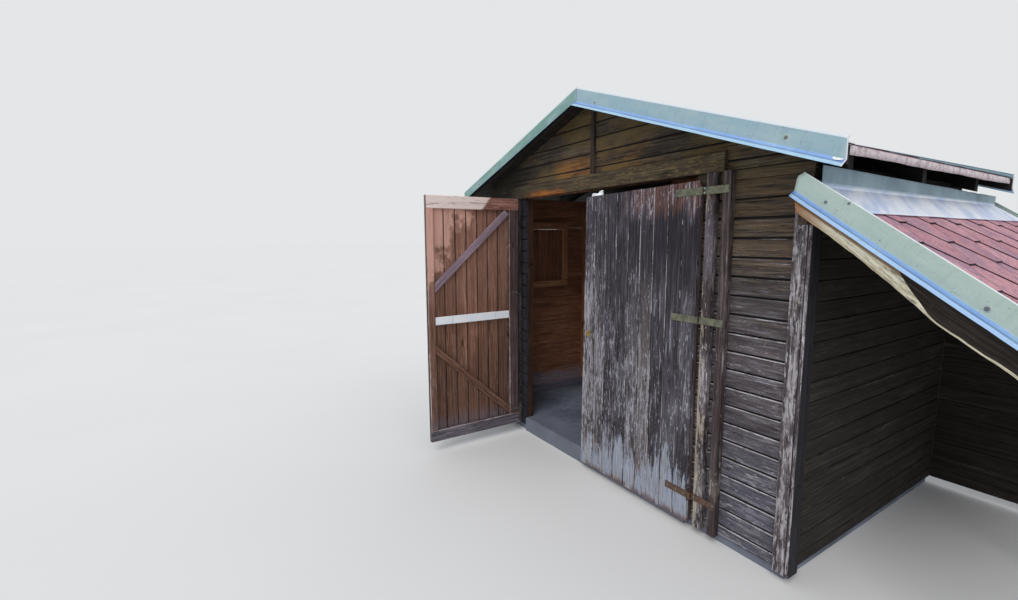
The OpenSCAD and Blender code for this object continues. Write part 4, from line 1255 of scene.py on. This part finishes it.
def verge(name, node, material, runs, y_edge, front, fold=-0.0818, low=-0.1030, hem=-0.0034):
    """Trim over the edge of a roof. runs is a list of (slope, ends, warp); fold is where the drip edge starts
    and low its lower edge."""
    f = -1.0 if front else 1.0
    thick = 0.0009
    b = Build(name)
    # drip edge with a turned-back hem, face and rolled top hem
    path = stepped(rounded([(0.0375, low + 0.0045), (0.0445, low), (0.0008, fold), (0.0008, -0.0012),
                            (-0.0062, -0.0012), (-0.0062, -0.0062)], 0.0022), 0.010)
    # the tint tells the drip edge's lower and upper band, the face and the rolled hem apart
    half = 0.5 * (fold + low)
    steps = ((half - 0.0012, 1.0), (half + 0.0024, 0.74), (fold + 0.0006, 0.6), (hem, 0.0), (math.inf, -0.5))
    tags = [next(tag for limit, tag in steps if p[1] < limit) for p in path]
    # flange that lies on the shingles, its own edge turned up a little, and inner skin from it up to the hem
    flange = rounded([(-0.0025, -0.0234), (-0.0520, -0.0234), (-0.0590, -0.0225)], 0.002)
    skin = [(-0.0022, -0.0240), (-0.0022, -0.0070)]
    edge, flange, skin = ([(y_edge + f * p[0], p[1]) for p in line] for line in (path, flange, skin))
    for roof, ends, warp in runs:
        sheet_strip(b, edge, roof, -f * thick, ends, tags, 70, warp)
        sheet_strip(b, flange, roof, thick, ends)
        sheet_strip(b, skin, roof, thick, ends)
    b.done(node, "metal_trim", material, smooth=True)


def plumb_ends(roof, x_end, rise=0.0):
    """End cuts of a main roof trim: plumb at the ridge and at the eave, where rise lifts its drip edge."""
    def at(y, v):
        lift = rise * min(1.0, max(0.0, -v) / 0.08)
        return 0.0003 / roof.cos - v * roof.tan, x_end / roof.cos - (v + lift) * roof.tan
    return at


def dents(seed, amount, rise=0.0):
    """Small waves and dents of a sheet; rise lifts its drip edge by that much towards the lower end."""
    r = random.Random(seed)
    waves = [(r.uniform(1.5, 9.0), r.uniform(0, 6.28), r.uniform(0.3, 1.0)) for _ in range(7)]
    spots = [(r.uniform(0.1, 1.7), r.uniform(0.02, 0.05), r.uniform(-1.6, 1.6)) for _ in range(7)]

    def at(s, u, p):
        w = sum(a * math.sin(k * s + ph) for k, ph, a in waves) * amount * 0.35
        for c, wide, depth in spots:
            w += amount * depth * math.exp(-((s - c) / wide) ** 2) * (1.0 - u)
        dv = 0.5 * w * (1.0 - u) + rise * max(0.0, min(1.0, s / 1.7)) * min(1.0, (1.0 - u) / 0.66)
        return w * (1.0 - u) ** 1.5, dv
    return at


MAIN = dict(fold=-0.0872, low=-0.1160, hem=-0.0062)
LEFT_RISE = 0.0160  # keeps the left run's drip edge clear of the open leaf
x_end = ROOF_HALF + 0.0036
front_runs, back_runs = [], []
for side, roof in ROOF.items():
    rise = LEFT_RISE if side < 0 else 0.0
    front_runs.append((roof, plumb_ends(roof, x_end - 0.14 * rise, rise), dents(3 + side, 0.0009, rise)))
    back_runs.append((roof, plumb_ends(roof, x_end), dents(8 + side, 0.0008)))
verge("verge_sheet_front", "front_verge_trim", "verge_sheet", front_runs, -VERGE, True, **MAIN)
verge("verge_sheet_back", "back_verge_trim", "verge_sheet", back_runs, SHED_D + VERGE, False, **MAIN)


def lean_ends(y, v):
    """Leaning cut with its corner off on the shed's wall, square cut at the eave."""
    corner = 0.0592 - 0.49 * (v + 0.0818) if v < -0.029 else 0.0333 + (v + 0.029) * 0.486
    return max(-v * LEAN.tan + 0.0005, corner), LEAN_LEN + 0.0035


for word, front, y_edge, seed in (("front", True, -LEAN_FRONT, 21), ("back", False, SHED_D + LEAN_BACK, 34)):
    runs = [(LEAN, lean_ends, dents(seed, 0.0009))]
    verge("lean_to_sheet_" + word, "lean_%s_trim" % word, "lean_to_verge_sheet", runs, y_edge, front)

# Flashing: upright with a hem, and the apron
fx = HALF + FLASH_OUT
fz = LEAN.height(fx, -TRIM_UP) + 0.0026
fy0, fy1 = -LEAN_FRONT + 0.027, SHED_D + LEAN_BACK - 0.012
r = random.Random(5)
flash_waves = [(r.uniform(2, 7), r.uniform(0, 6.28), r.uniform(0.4, 1)) for _ in range(6)]


def flash_warp(s, u, p):
    w = abs(sum(a * math.sin(k * s + ph) for k, ph, a in flash_waves) * 0.0009)
    if p.y > fz + 0.006:
        # upright: its top falls towards the back, with sharp dents at its back end
        up = (p.y - fz) / FLASH_H
        drop = (FLASH_H - FLASH_BACK_H) * (s - fy0) / (fy1 - fy0)
        dent = sum(0.010 * math.exp(-((s - c) / 0.022) ** 2) for c in (1.50, 1.66, 1.83))
        return -dent * up - w * up, -drop * up
    return 0.0, -w * 0.6 * max(0.0, min(1.0, (p.x - fx) / (FLASH_W * LEAN.cos)))


top, low, run = fz + FLASH_H - 0.001, fz + 0.0006, FLASH_W - 0.001
hem_x, up_x = fx + 0.0052, fx + 0.0008
path = stepped(rounded([(hem_x, top - 0.005), (hem_x, top), (up_x, top), (up_x, low),
                        (fx + run * LEAN.cos, low - run * LEAN.sin)]), 0.02)
b = Build("flashing")
sheet_strip(b, path, lambda s, x, z: Vector((x, set_out(s), z)), 0.0009, lambda x, z: (fy0, fy1),
            [0.0 if p[1] > fz + 0.004 else 1.0 for p in path], 120, flash_warp)
b.done("apron_flashing", "metal_trim", "flashing_sheet", smooth=True)

# Lean-to timber
rail = lean_front + 0.040, SHED_D + LEAN_BACK - 0.060
beam_xs = BEAM_X, BEAM_X + BEAM_T
b = Build("ledger")
box_board(b, (HALF, HALF + 0.040), rail, (LEDGER_TOP - RAIL_H, LEDGER_TOP), 1)
b.done("lean_ledger", "lean_timber", "lean_to_timber")
b = Build("eave_beam")
box_board(b, beam_xs, rail, (BEAM_TOP - RAIL_H, BEAM_TOP), 1, 0.004)
b.done("lean_beam", "lean_timber", "lean_to_timber")
b = Build("lean_to_posts")
last = back_in - BEAM_T
for y in (rail[0] + 0.020, last / 2, last):
    box_board(b, beam_xs, (y, y + BEAM_T), (0.0, BEAM_TOP - RAIL_H), 2, 0.005, seg=12)
b.done("lean_posts", "lean_timber", "lean_to_timber")

# The waney rafter: sawn face, natural lower edge with a pale slanting band
# its depths in millimetres at places down its length
FACE_DEPTH = [(0, 98), (500, 98), (550, 103), (600, 128), (650, 148), (700, 167), (750, 183), (800, 184),
              (850, 182), (900, 181), (1000, 180), (1385, 181)]
OUTER_DEPTH = [(0, 155), (50, 157), (100, 160), (150, 162), (200, 163), (300, 166), (400, 168), (450, 169),
               (500, 173), (550, 178), (600, 183), (650, 188), (700, 194), (750, 200), (800, 200), (850, 199),
               (900, 198), (950, 197), (1385, 198)]


def depth(rows, s):
    s = max(0.0, s) * 1000
    for (s0, d0), (s1, d1) in zip(rows, rows[1:]):
        if s <= s1:
            return (d0 + (d1 - d0) * (s - s0) / (s1 - s0)) / 1000
    return rows[-1][1] / 1000


b = Build("waney_rafter")
y0, y1 = lean_front, rail[0]
start, count = -0.10, 90
r = random.Random(9)
ph = [r.uniform(0, 6) for _ in range(3)]
rings, grain = [], []
for i in range(count + 1):
    s = start + (LEAN_LEN - 0.021 - start) * i / count
    rough = sum(size * math.sin(k * s + p) for size, k, p in zip((0.0014, 0.0008, 0.0003), (17, 43, 110), ph))
    low = -depth(OUTER_DEPTH, s) + rough + 0.002
    face_low = -depth(FACE_DEPTH, s) + 1.7 * rough
    band = face_low - low
    top = DECK_LOW - 0.0003
    ring = [(y0, top), (y0, face_low), (y0 + 0.005, face_low - 0.35 * band), (y0 + 0.013, low + 0.28 * band),
            (y0 + 0.022, low + 0.002), (y0 + 0.030, low), (y1, low + 0.001), (y1, top)]
    rings.append([])
    for y, v in ring:
        p = LEAN(s, y, v)
        # plumb cut: points behind the wall are pushed onto it
        if p.x < HALF:
            p += LEAN.down * ((HALF + 0.0002 - p.x) / LEAN.down.x)
        rings[-1].append(p)
        grain.append((s + 3.0, v - low + y, y))
loft(b, rings, grain, edge_mats=dict.fromkeys((1, 2, 3, 4), 1))
for p in b.done("lean_barge_rafter", "waney_timber", "waney_rafter_face", "waney_edge").data.polygons:
    p.use_smooth = p.material_index == 1


# Window
def round_window(margin):
    """The window's y and z, wider by margin on every side."""
    return ((WIN_Y - WIN_W / 2 - margin, WIN_Y + WIN_W / 2 + margin),
            (WIN_Z - margin, WIN_Z + WIN_H + margin))


b = Build("window_surround")
casing = 0.055
(ya, yb), (za, zb) = round_window(casing)
w, x0, x1 = casing + 0.010, -WALL_IN, -WALL_IN + 0.030
for zs in ((zb - w, zb), (za, za + w)):
    box_board(b, (x0, x1), (ya, yb), zs, 1)
for ys in ((ya, ya + w), (yb - w, yb)):
    box_board(b, (x0, x1 - 0.001), ys, (za + w + 0.0004, zb - w - 0.0004), 2)
b.done("window_frame", "frame_timber", "window_frame_wood")
b = Build("shutter")
(ya, yb), (za, zb) = round_window(0.060)
count, thick = 5, 0.0125
w = (yb - ya) / count
for i in range(count):
    board(b, (-HALF, set_out(ya + w * i), za + rng.uniform(0, 0.003)), Z, Y, -X, 1.8316 - za, w, thick, seg=8,
          section=tongue_and_groove(w, thick, 0.0012, 0.003, 0.001, 0.004))
box_board(b, (-HALF - thick, -HALF), (ya, yb), (1.8332, zb - 0.002), 1, 0.002)
for z in (za + 0.09, zb - 0.19):
    box_board(b, (-HALF - 0.0198, -HALF - 0.0126), (ya + 0.015, yb - 0.015), (z, z + 0.07), 1, 0.002)
facing(b.done("window_shutter", "cladding", "cladding_back", "inside_boards"), X)

# Door leaves
BOARD_T, FRAME_T = 0.019, 0.026
FACE_Y = -0.006 - FRAME_T - BOARD_T
FRAME_Y = FACE_Y + BOARD_T
LEAF = {1: dict(foot=-0.042, head=-0.014, edge=0.914, low=0.052, top=2.044, drop=0.022, pitch=0.1032),
        -1: dict(foot=0.050, head=0.050, edge=0.892, low=0.096, top=2.072, drop=0.0, pitch=0.0985)}
FREE_W, HINGE_W, TOP_H, LOW_H = 0.060, 0.092, 0.100, 0.092


class Leaf:
    """Axes of a door leaf: x runs from its free edge to its hinges, y through it from its outer face."""

    def __init__(self, side):
        self.side = side
        for k, v in LEAF[side].items():
            setattr(self, k, v)
        self.X, self.Y = (X, Y) if side > 0 else (Y, X)
        self.word = "right" if side > 0 else "left"
        self.body = self.word + "_leaf"

    def at(self, x, y, z):
        if self.side > 0:
            return Vector((x, set_out(y), z))
        return Vector((y + 0.058 - 0.910, set_out(-0.058 + x - 0.910), z))

    def head_at(self, x):
        return self.top - self.drop * (self.edge - x) / (self.edge - self.head)

    def free(self, z):
        return self.foot + (self.head - self.foot) * (z - self.low) / (self.top - self.drop - self.low)


def upright_board(b, leaf, x0, x1, y, thick, end0, end1, mat=0, section=None, follow=False, wobble=0.0006,
                  bevel=0.002, edge_mats=None):
    """A vertical board of a leaf. follow cuts its edge x0 along the leaf's leaning free edge."""
    w = x1 - x0
    shift = grain_shift()
    ph = [rng.uniform(0, 6.28) for _ in range(3)]
    rings, grain, seg = [], [], 14
    for i in range(seg + 1):
        rings.append([])
        for q, r in section or plain_section(w, thick, bevel):
            x = x0 + q
            z = end0(x) + (end1(x) - end0(x)) * (i / seg)
            dq = wobble * math.sin(2.3 * z + ph[0]) * (0.0 if follow and q < 0.5 * w else 1.0)
            if follow:
                x = leaf.free(z) + (q / w) * (x1 - leaf.free(z))
            rings[-1].append(leaf.at(x + dq, y + r + 0.3 * wobble * math.sin(3.7 * z + ph[1]), z))
            grain.append((z + shift[0], q + shift[1], r + shift[2]))
    loft(b, rings, grain, rng.random(), mat, edge_mats, back=True)


def leaf_boards(leaf, *materials):
    """Boards of a leaf. The materials are the outer faces, the inner ones, the joints and the edges."""
    # the right leaf's chamfers on one side of each seam take the pale edge wood with its painted highlight
    joint, chamfer = 2, 3 if leaf.side > 0 else 2
    b = Build(leaf.body + "_planks")
    x = leaf.edge - 0.0006
    cuts = [x]
    while x - leaf.pitch > leaf.head + 0.03:
        x -= leaf.pitch * rng.uniform(0.985, 1.015)
        cuts.append(x)
    cuts.append(leaf.head if leaf.side > 0 else leaf.foot + 0.0010)
    cuts.reverse()
    for x0, x1 in zip(cuts, cuts[1:]):
        w = x1 - x0
        gap, front = rng.uniform(0.0026, 0.0042), rng.uniform(0.0022, 0.0034)
        section = tongue_and_groove(w, BOARD_T, gap, front, 0.0030, 0.0066)
        edges = {**dict.fromkeys((1, 2, 6, 9, 10, 14, 15), joint), 7: chamfer}
        if x1 == cuts[-1]:
            section, edges = plain_section(w, BOARD_T, 0.002), None
        # in this section the back of the board is at 0; the leaf's outer face is at y = 0
        section = [(q, BOARD_T - r) for q, r in section]
        ragged = rng.uniform(0.0, 0.007 if leaf.side > 0 else 0.003)
        short = rng.uniform(0.0, 0.003)
        upright_board(b, leaf, x0, x1, FACE_Y, BOARD_T, lambda x: leaf.low + ragged,
                      lambda x: leaf.head_at(x) - short - 0.0003, section=section,
                      follow=x0 == cuts[0] and leaf.side > 0, wobble=0.0008, edge_mats=edges)
    return b.done(leaf.body + "_boards", leaf.body + "_wood", *materials, body=leaf.body)


def leaf_frame(leaf, *materials):
    """Stiles, rails and braces behind the boards. The materials are the stiles, top rail, upper brace, low rail
    and lower brace. The left leaf also has them for its free stile and pale edges, and its painted rail is a
    piece of its own."""
    b = Build(leaf.body + "_timber")
    y, t, e = FRAME_Y + 0.0002, FRAME_T - 0.0008, 0.0004
    out = leaf.edge - HINGE_W
    inn = leaf.foot + FREE_W
    rail_low = leaf.top - leaf.drop - TOP_H
    own = leaf.side < 0

    def stile(x0, x1, **other):
        """They run between the rails."""
        upright_board(b, leaf, x0, x1, y, t - 0.001, lambda x: leaf.low + LOW_H + e, lambda x: rail_low - e,
                      edge_mats={5: 6} if own else None, **other)

    def cross(end0, end1, z0, z1, thick, mat, edge_mats=None):
        w = z1 - z0
        board(b, leaf.at(0, y, z0), leaf.X, Z, leaf.Y, 1.0, w, thick, 0.003, 0.0005, end0, end1, 12, mat,
              edge_mats=edge_mats)

    stile(leaf.foot + 0.0012, inn, follow=not own, bevel=0.003, mat=5 if own else 0)
    stile(out, leaf.edge - 0.0012, bevel=0.004)
    hinge_end = const(leaf.edge - 0.0006)
    cross(lambda q: leaf.free(rail_low + q) + 0.0006, hinge_end, rail_low,
          leaf.head_at(leaf.head) - 0.0006, t, 1)
    cross(lambda q: leaf.free(leaf.low + q) + 0.0006, hinge_end, leaf.low + 0.0005, leaf.low + LOW_H, t, 3,
          {3: 6} if own else None)
    half = 0.0275
    for za, zb, level, mat in ((1.350, rail_low, rail_low - 0.0006, 2),
                               (0.860, leaf.low + LOW_H + 0.040, leaf.low + LOW_H + 0.0006, 4)):
        d = Vector((out - inn, zb - za)).normalized()
        along = leaf.X * d.x + Z * d.y
        across = leaf.X * -d.y + Z * d.x

        def start(q):
            return (0.0008 + d.y * (q - half)) / d.x

        def stop(q):
            """Plumb on the stile, and level on the rail that the brace meets."""
            plumb = (out - 0.0008 - inn + d.y * (q - half)) / d.x
            return min(plumb, (level - za - d.x * (q - half)) / d.y)

        board(b, leaf.at(inn, y, za) + across * -half, along, across, leaf.Y, 1.0, 2 * half, t - 0.004, 0.003,
              0.0006, start, stop, 14, mat)
    z0, z1 = 1.087 - 0.032 + e, 1.087 + 0.032 - e
    if not own:
        cross(const(inn + 0.0006), const(out - 0.0006), z0, z1, t - 0.002, 3)
    b.done(leaf.body + "_frame", leaf.body + "_wood", *materials, body=leaf.body)
    if own:
        b = Build("left_leaf_painted_rail")
        joints = [inn + 0.0006, 0.262, 0.659, out - 0.0006]
        for i, (xa, xb) in enumerate(zip(joints, joints[1:])):
            less = 0.0 if i == 1 else 0.0008
            board(b, leaf.at(xa, y, z0 + less), leaf.X, Z, leaf.Y, xb - xa - 0.0040, z1 - z0 - 2 * less,
                  t - 0.002 - 1.25 * less, 0.0025, 0.0003)
        b.done("left_leaf_rail", "painted_rail", "white_rail", body=leaf.body)


right, left = Leaf(1), Leaf(-1)
leaf_frame(right, "left_leaf_stiles", "left_leaf_stiles", "left_leaf_lower_brace", "left_leaf_stiles",
           "left_leaf_lower_brace")
o = leaf_boards(right, "right_leaf_boards", "left_leaf_boards", "board_joints", "right_leaf_board_edges")
facing(o, Y, least=0.9)
leaf_frame(left, "left_leaf_stiles", "left_leaf_top_rail", "left_leaf_braces", "left_leaf_bottom_rail",
           "left_leaf_lower_brace", "left_leaf_free_stile", "left_leaf_pale_edges")
o = leaf_boards(left, "left_leaf_outer_boards", "left_leaf_boards", "board_joints", "left_leaf_edge")
facing(o, X, least=0.9)
# its end face gets the dark edge wood, painted shade
facing(o, -Y, 3, least=0.9)

# Floor slab: the part inside the walls and the tongue in the doorway, whose front edge is chipped
b = Build("floor_slab")
r = random.Random(4)
ph = [r.uniform(0, 6) for _ in range(7)]


def slab_block(x0, x1, y0, y1, nx, ny, front):
    verts, faces = [], []
    for j in range(ny + 1):
        y = y0 + (y1 - y0) * j / ny
        for i in range(nx + 1):
            x = x0 + (x1 - x0) * i / nx
            wave = (0.0006 * math.sin(5 * x + ph[0]) * math.sin(4 * y + ph[1])
                    + 0.0004 * math.sin(17 * x + ph[2]) * math.sin(13 * y + ph[3]))
            yy, z = y, FLOOR_T - 0.0012 - abs(wave)
            if front and j == 0:
                chip = max(0.0, math.sin(11 * x + ph[4]) * math.sin(29 * x + ph[5]))
                yy, z = y + 0.0006 + 0.002 * chip, FLOOR_T - 0.010 - 0.005 * chip
            if front and j == 1:
                yy, z = y0 + 0.009 + 0.003 * abs(math.sin(23 * x + ph[6])), z - 0.0012
            verts.append((x, yy, z))
    m = nx + 1
    for j in range(0, ny * m, m):
        faces += [(j + i, j + i + 1, j + m + i + 1, j + m + i) for i in range(nx)]
    # skirt and underside
    ring = rim(nx, ny, lambda i, j: j * m + i)
    k = len(verts)
    verts += [(verts[q][0], verts[q][1], 0.0) for q in ring]
    for a, q in enumerate(ring):
        c = (a + 1) % len(ring)
        faces.append((ring[c], q, k + a, k + c))
    faces.append(tuple(k + a for a in range(len(ring) - 1, -1, -1)))
    b.add(verts, faces)


seam_y, gap = set_out(CLAD_T) + 0.0003, 0.0005
slab_block(-DOOR + gap, DOOR - gap, set_out(0), seam_y, 90, 3, True)
slab_block(-WALL_IN + gap, WALL_IN - gap, seam_y, set_out(SHED_D - CLAD_T) - gap, 70, 44, False)
b.done("floor", "concrete", "concrete_slab")

# CAD pieces that stay, with their own materials
for name, material in (("rafters", "rafter_timber"), ("lean_rafters", "lean_to_rafter_timber"),
                       ("upright_hinges", "hinge_iron"), ("right_leaf_hinges", "hinge_iron"),
                       ("left_leaf_hinges", "hinge_iron"), ("lock_rose", "brass_rose")):
    nodes[name].data.materials.clear()
    nodes[name].data.materials.append(M[material])

# Screws, bolts and small ironwork
b = Build("upright_screws")
for s in (-1, 1):
    for z in HINGE_Z:
        for dx in (0.026, 0.050, 0.120, 0.150):
            centre = (s * (PIN[s] + dx), set_out(-HANG_T - 0.004), z + rng.uniform(-0.006, 0.006))
            disc(b, centre, -Y, 0.0052, 0.0028, cross=True)
b.done(None, "hinge_iron", "screw_heads")
for leaf in (right, left):
    b = Build(leaf.word + "_strap_screws")
    for z in HINGE_Z:
        for dx in (0.022, 0.078, 0.138):
            centre = leaf.at(leaf.edge - dx, FACE_Y - 0.004, z + rng.uniform(-0.005, 0.005))
            disc(b, centre, -leaf.Y, 0.0052, 0.0028, cross=True)
    # bolt ends and screw heads on the inner face
    for dx, dz in ((0.020, 0.0), (0.052, 0.004), (0.082, -0.003)):
        for z in HINGE_Z:
            disc(b, leaf.at(leaf.edge - dx, FRAME_Y + FRAME_T - 0.0014, z + dz), leaf.Y, 0.0062, 0.0030)
    b.done(None, "hinge_iron", "screw_heads", body=leaf.body)
b = Build("hinge_pin_ends")
for s in (-1, 1):
    for dz in (-0.010, 0.012):
        disc(b, (s * PIN[s] + s * 0.010, set_out(-HANG_T - 0.0045), HINGE_Z[2] + dz), -Y, 0.0055, 0.0030)
b.done(None, "hinge_iron", "screw_washers")
b = Build("brace_screws")
for x, z in ((0.50, 1.70), (0.16, 1.41), (0.74, 1.93), (0.16, 0.80), (0.74, 0.29)):
    disc(b, left.at(x, FRAME_Y + FRAME_T - 0.0048, z), left.Y, 0.0042, 0.0022, cross=True)
b.done(None, "hinge_iron", "screw_heads", body="left_leaf")


# torn strip of pale sealing sheet stuck on the right leaf's upper edge
def seal_point(u, v):
    x = 0.036 + 0.118 * u + r.uniform(-0.002, 0.002)
    high = v * (0.012 + 0.018 * u + 0.006 * math.sin(9.6 * u + 0.4)) + (r.uniform(-0.003, 0.003) if v else 0)
    y = FACE_Y + 0.004 + 0.0045 * math.sin(9 * u + 3 * v) + r.uniform(-0.0016, 0.0016)
    z = right.head_at(x) + 0.0006 + high
    return right.at(x, y, z), right.at(x, y + 0.0022, z)


b = Build("sealing_strip")
r = random.Random(17)
scrap(b, 13, 6, seal_point)
b.done(None, "painted_rail", "white_rail", body="right_leaf")
b = Build("key_plate_screw")
disc(b, right.at(0.030, FACE_Y, 0.90), -Y, 0.0065, 0.003, cross=True)
b.done(None, "hinge_iron", "screw_heads", body="right_leaf")
# black keyhole outline on the leaf: painted shade in the hole
b = Build("keyhole_shade")
centre = right.at(0.028, FACE_Y - 0.0004, 1.052)
turns = [math.radians(-55 + 290 * i / 9) for i in range(10)]
outline = [(math.cos(a) * 0.0042, 0.004 + math.sin(a) * 0.0042) for a in turns]
outline += [(-0.0032, -0.0068), (0.0032, -0.0068)]
near = [centre + Vector((x, 0, z)) for x, z in outline]
far = [p - Y * 0.0008 for p in near]
shift = grain_shift()
loft(b, [near, far], [(p.x + shift[0], p.z + shift[1], shift[2] - p.y) for p in near + far])
b.done(None, "brass", "keyhole", body="right_leaf")

# screws on the metal trims, each on its washer
b = Build("trim_screws")


def trim_screws(roof, s, v, edges, radii):
    for y, out, (radius, washer) in zip(edges, (-1, 1), radii):
        centre = roof(s, y + out * 0.0009, v)
        disc(b, centre, out * Y, washer, 0.0018, seg=20, mat=1)
        disc(b, centre + out * Y * 0.0014, out * Y, radius, 0.0034, cross=True)


for side, s, v in ((-1, 0.40, -0.046), (-1, 1.46, -0.050), (1, 0.231, -0.070), (1, 1.541, -0.052)):
    size = (0.0085, 0.0165) if s > 1 else (0.006, 0.011)
    trim_screws(ROOF[side], s, v, (-VERGE, SHED_D + VERGE), (size, size))
for s, v in ((0.200, -0.053), (0.276, -0.012), (0.848, -0.059), (1.32, -0.040)):
    size = (0.0085, 0.014) if s > 0.8 else (0.006, 0.012)
    trim_screws(LEAN, s, v, (-LEAN_FRONT, SHED_D + LEAN_BACK), (size, (0.0062, 0.011)))
b.done(None, "metal_trim", "screw_heads", "screw_washers")


# a small bent flap of bare metal on the main trim's drip edge, at its right end
def flap_point(u, v):
    out = 0.003 + 0.018 * v * math.sin(math.pi * min(1.0, 0.12 + 0.80 * u)) + 0.0010 * math.sin(9 * u)
    drop = MAIN["fold"] - 0.66 * out + 0.0028 + 0.0050 * u * v + r.uniform(-0.0003, 0.0003)
    return [ROOF[1](1.764 + 0.0515 * u, -VERGE - out, drop - thick) for thick in (0.0, 0.0012)]


b = Build("torn_trim_end")
r = random.Random(23)
scrap(b, 8, 5, flap_point)
b.done(None, "metal_trim", "white_rail", smooth=True)

# bent wire hook on the right corner board
b = Build("wire_hook")
y = set_out(-TRIM_T) - 0.003
HOOK = [(1.452, 0.006, 1.470), (1.450, -0.002, 1.466), (1.446, -0.003, 1.440), (1.440, -0.002, 1.405),
        (1.436, -0.004, 1.372), (1.431, -0.010, 1.352), (1.424, -0.016, 1.345), (1.418, -0.014, 1.352)]
STAPLES = [[(1.412, -0.001, 1.428), (1.430, -0.002, 1.431), (1.449, -0.001, 1.429)],
           [(1.414, -0.001, 1.392), (1.430, -0.002, 1.390), (1.446, -0.001, 1.393)]]
for line, radius in ((HOOK, 0.0016), (STAPLES[0], 0.0013), (STAPLES[1], 0.0013)):
    tube(b, [(x, y + dy, z) for x, dy, z in line], radius)
b.done(None, "hinge_iron", "rusty_wire")

# Ground, light and camera
Tree("pale_ground")
shade = noise(place(), 3.0, scale=0.5).ramp(0.3, 0.7)
finish(mix(shade, (0.820, 0.822, 0.825), (0.835, 0.837, 0.840)), 1.0, specular=0.0)
me = bpy.data.meshes.new("ground")
g = 200.0
me.from_pydata([(-g, -g, 0), (g, -g, 0), (g, g, 0), (-g, g, 0)], [], [(0, 1, 2, 3)])
me.materials.append(M["pale_ground"])
ground = bpy.data.objects.new("ground", me)
ground.location.z = -0.0005
bpy.context.scene.collection.objects.link(ground)

# the camera sees another colour behind the shed than the one that lights it
world = bpy.data.worlds.new("studio")
bpy.context.scene.world = world
world.use_nodes = True
nt = world.node_tree
light, seen = nt.nodes["Background"], nt.nodes.new("ShaderNodeBackground")
ray, mixer = nt.nodes.new("ShaderNodeLightPath"), nt.nodes.new("ShaderNodeMixShader")
for n, colour, strength in ((light, (0.93, 0.96, 1.0, 1), 0.70), (seen, (0.775, 0.79, 0.80, 1), 1.0)):
    n.inputs[0].default_value = colour
    n.inputs[1].default_value = strength
for i, output in enumerate((ray.outputs["Is Camera Ray"], light.outputs[0], seen.outputs[0])):
    nt.links.new(output, mixer.inputs[i])
nt.links.new(mixer.outputs[0], nt.nodes["World Output"].inputs[0])

# soft lamp from the front right
lamp = bpy.data.lights.new("key", "SUN")
lamp.energy = 1.25
lamp.angle = math.radians(36)
lamp.color = (1.0, 0.97, 0.93)
o = bpy.data.objects.new("key", lamp)
o.rotation_euler = Vector((0.55, -0.80, 0.95)).to_track_quat("Z", "Y").to_euler()
bpy.context.scene.collection.objects.link(o)

cam = bpy.data.cameras.new("camera")
cam_obj = bpy.data.objects.new("camera", cam)
bpy.context.scene.collection.objects.link(cam_obj)
yaw, pitch, roll = (math.radians(v) for v in (57.97, 7.166, 0.3185))
right_hand = Vector((math.cos(yaw), math.sin(yaw), 0))
ahead = Vector((-math.sin(yaw) * math.cos(pitch), math.cos(yaw) * math.cos(pitch), -math.sin(pitch)))
down = ahead.cross(right_hand)
r2 = math.cos(roll) * right_hand + math.sin(roll) * down
d2 = -math.sin(roll) * right_hand + math.cos(roll) * down
cam_obj.matrix_world = Matrix(((r2.x, -d2.x, -ahead.x, 2.620), (r2.y, -d2.y, -ahead.y, -3.300),
                               (r2.z, -d2.z, -ahead.z, 1.727), (0, 0, 0, 1)))
cam.sensor_width = 36
cam.lens = 479.1 / 1018 * 36
cam.clip_start = 0.05
bpy.context.scene.camera = cam_obj
bpy.context.scene.view_settings.view_transform = "Standard"
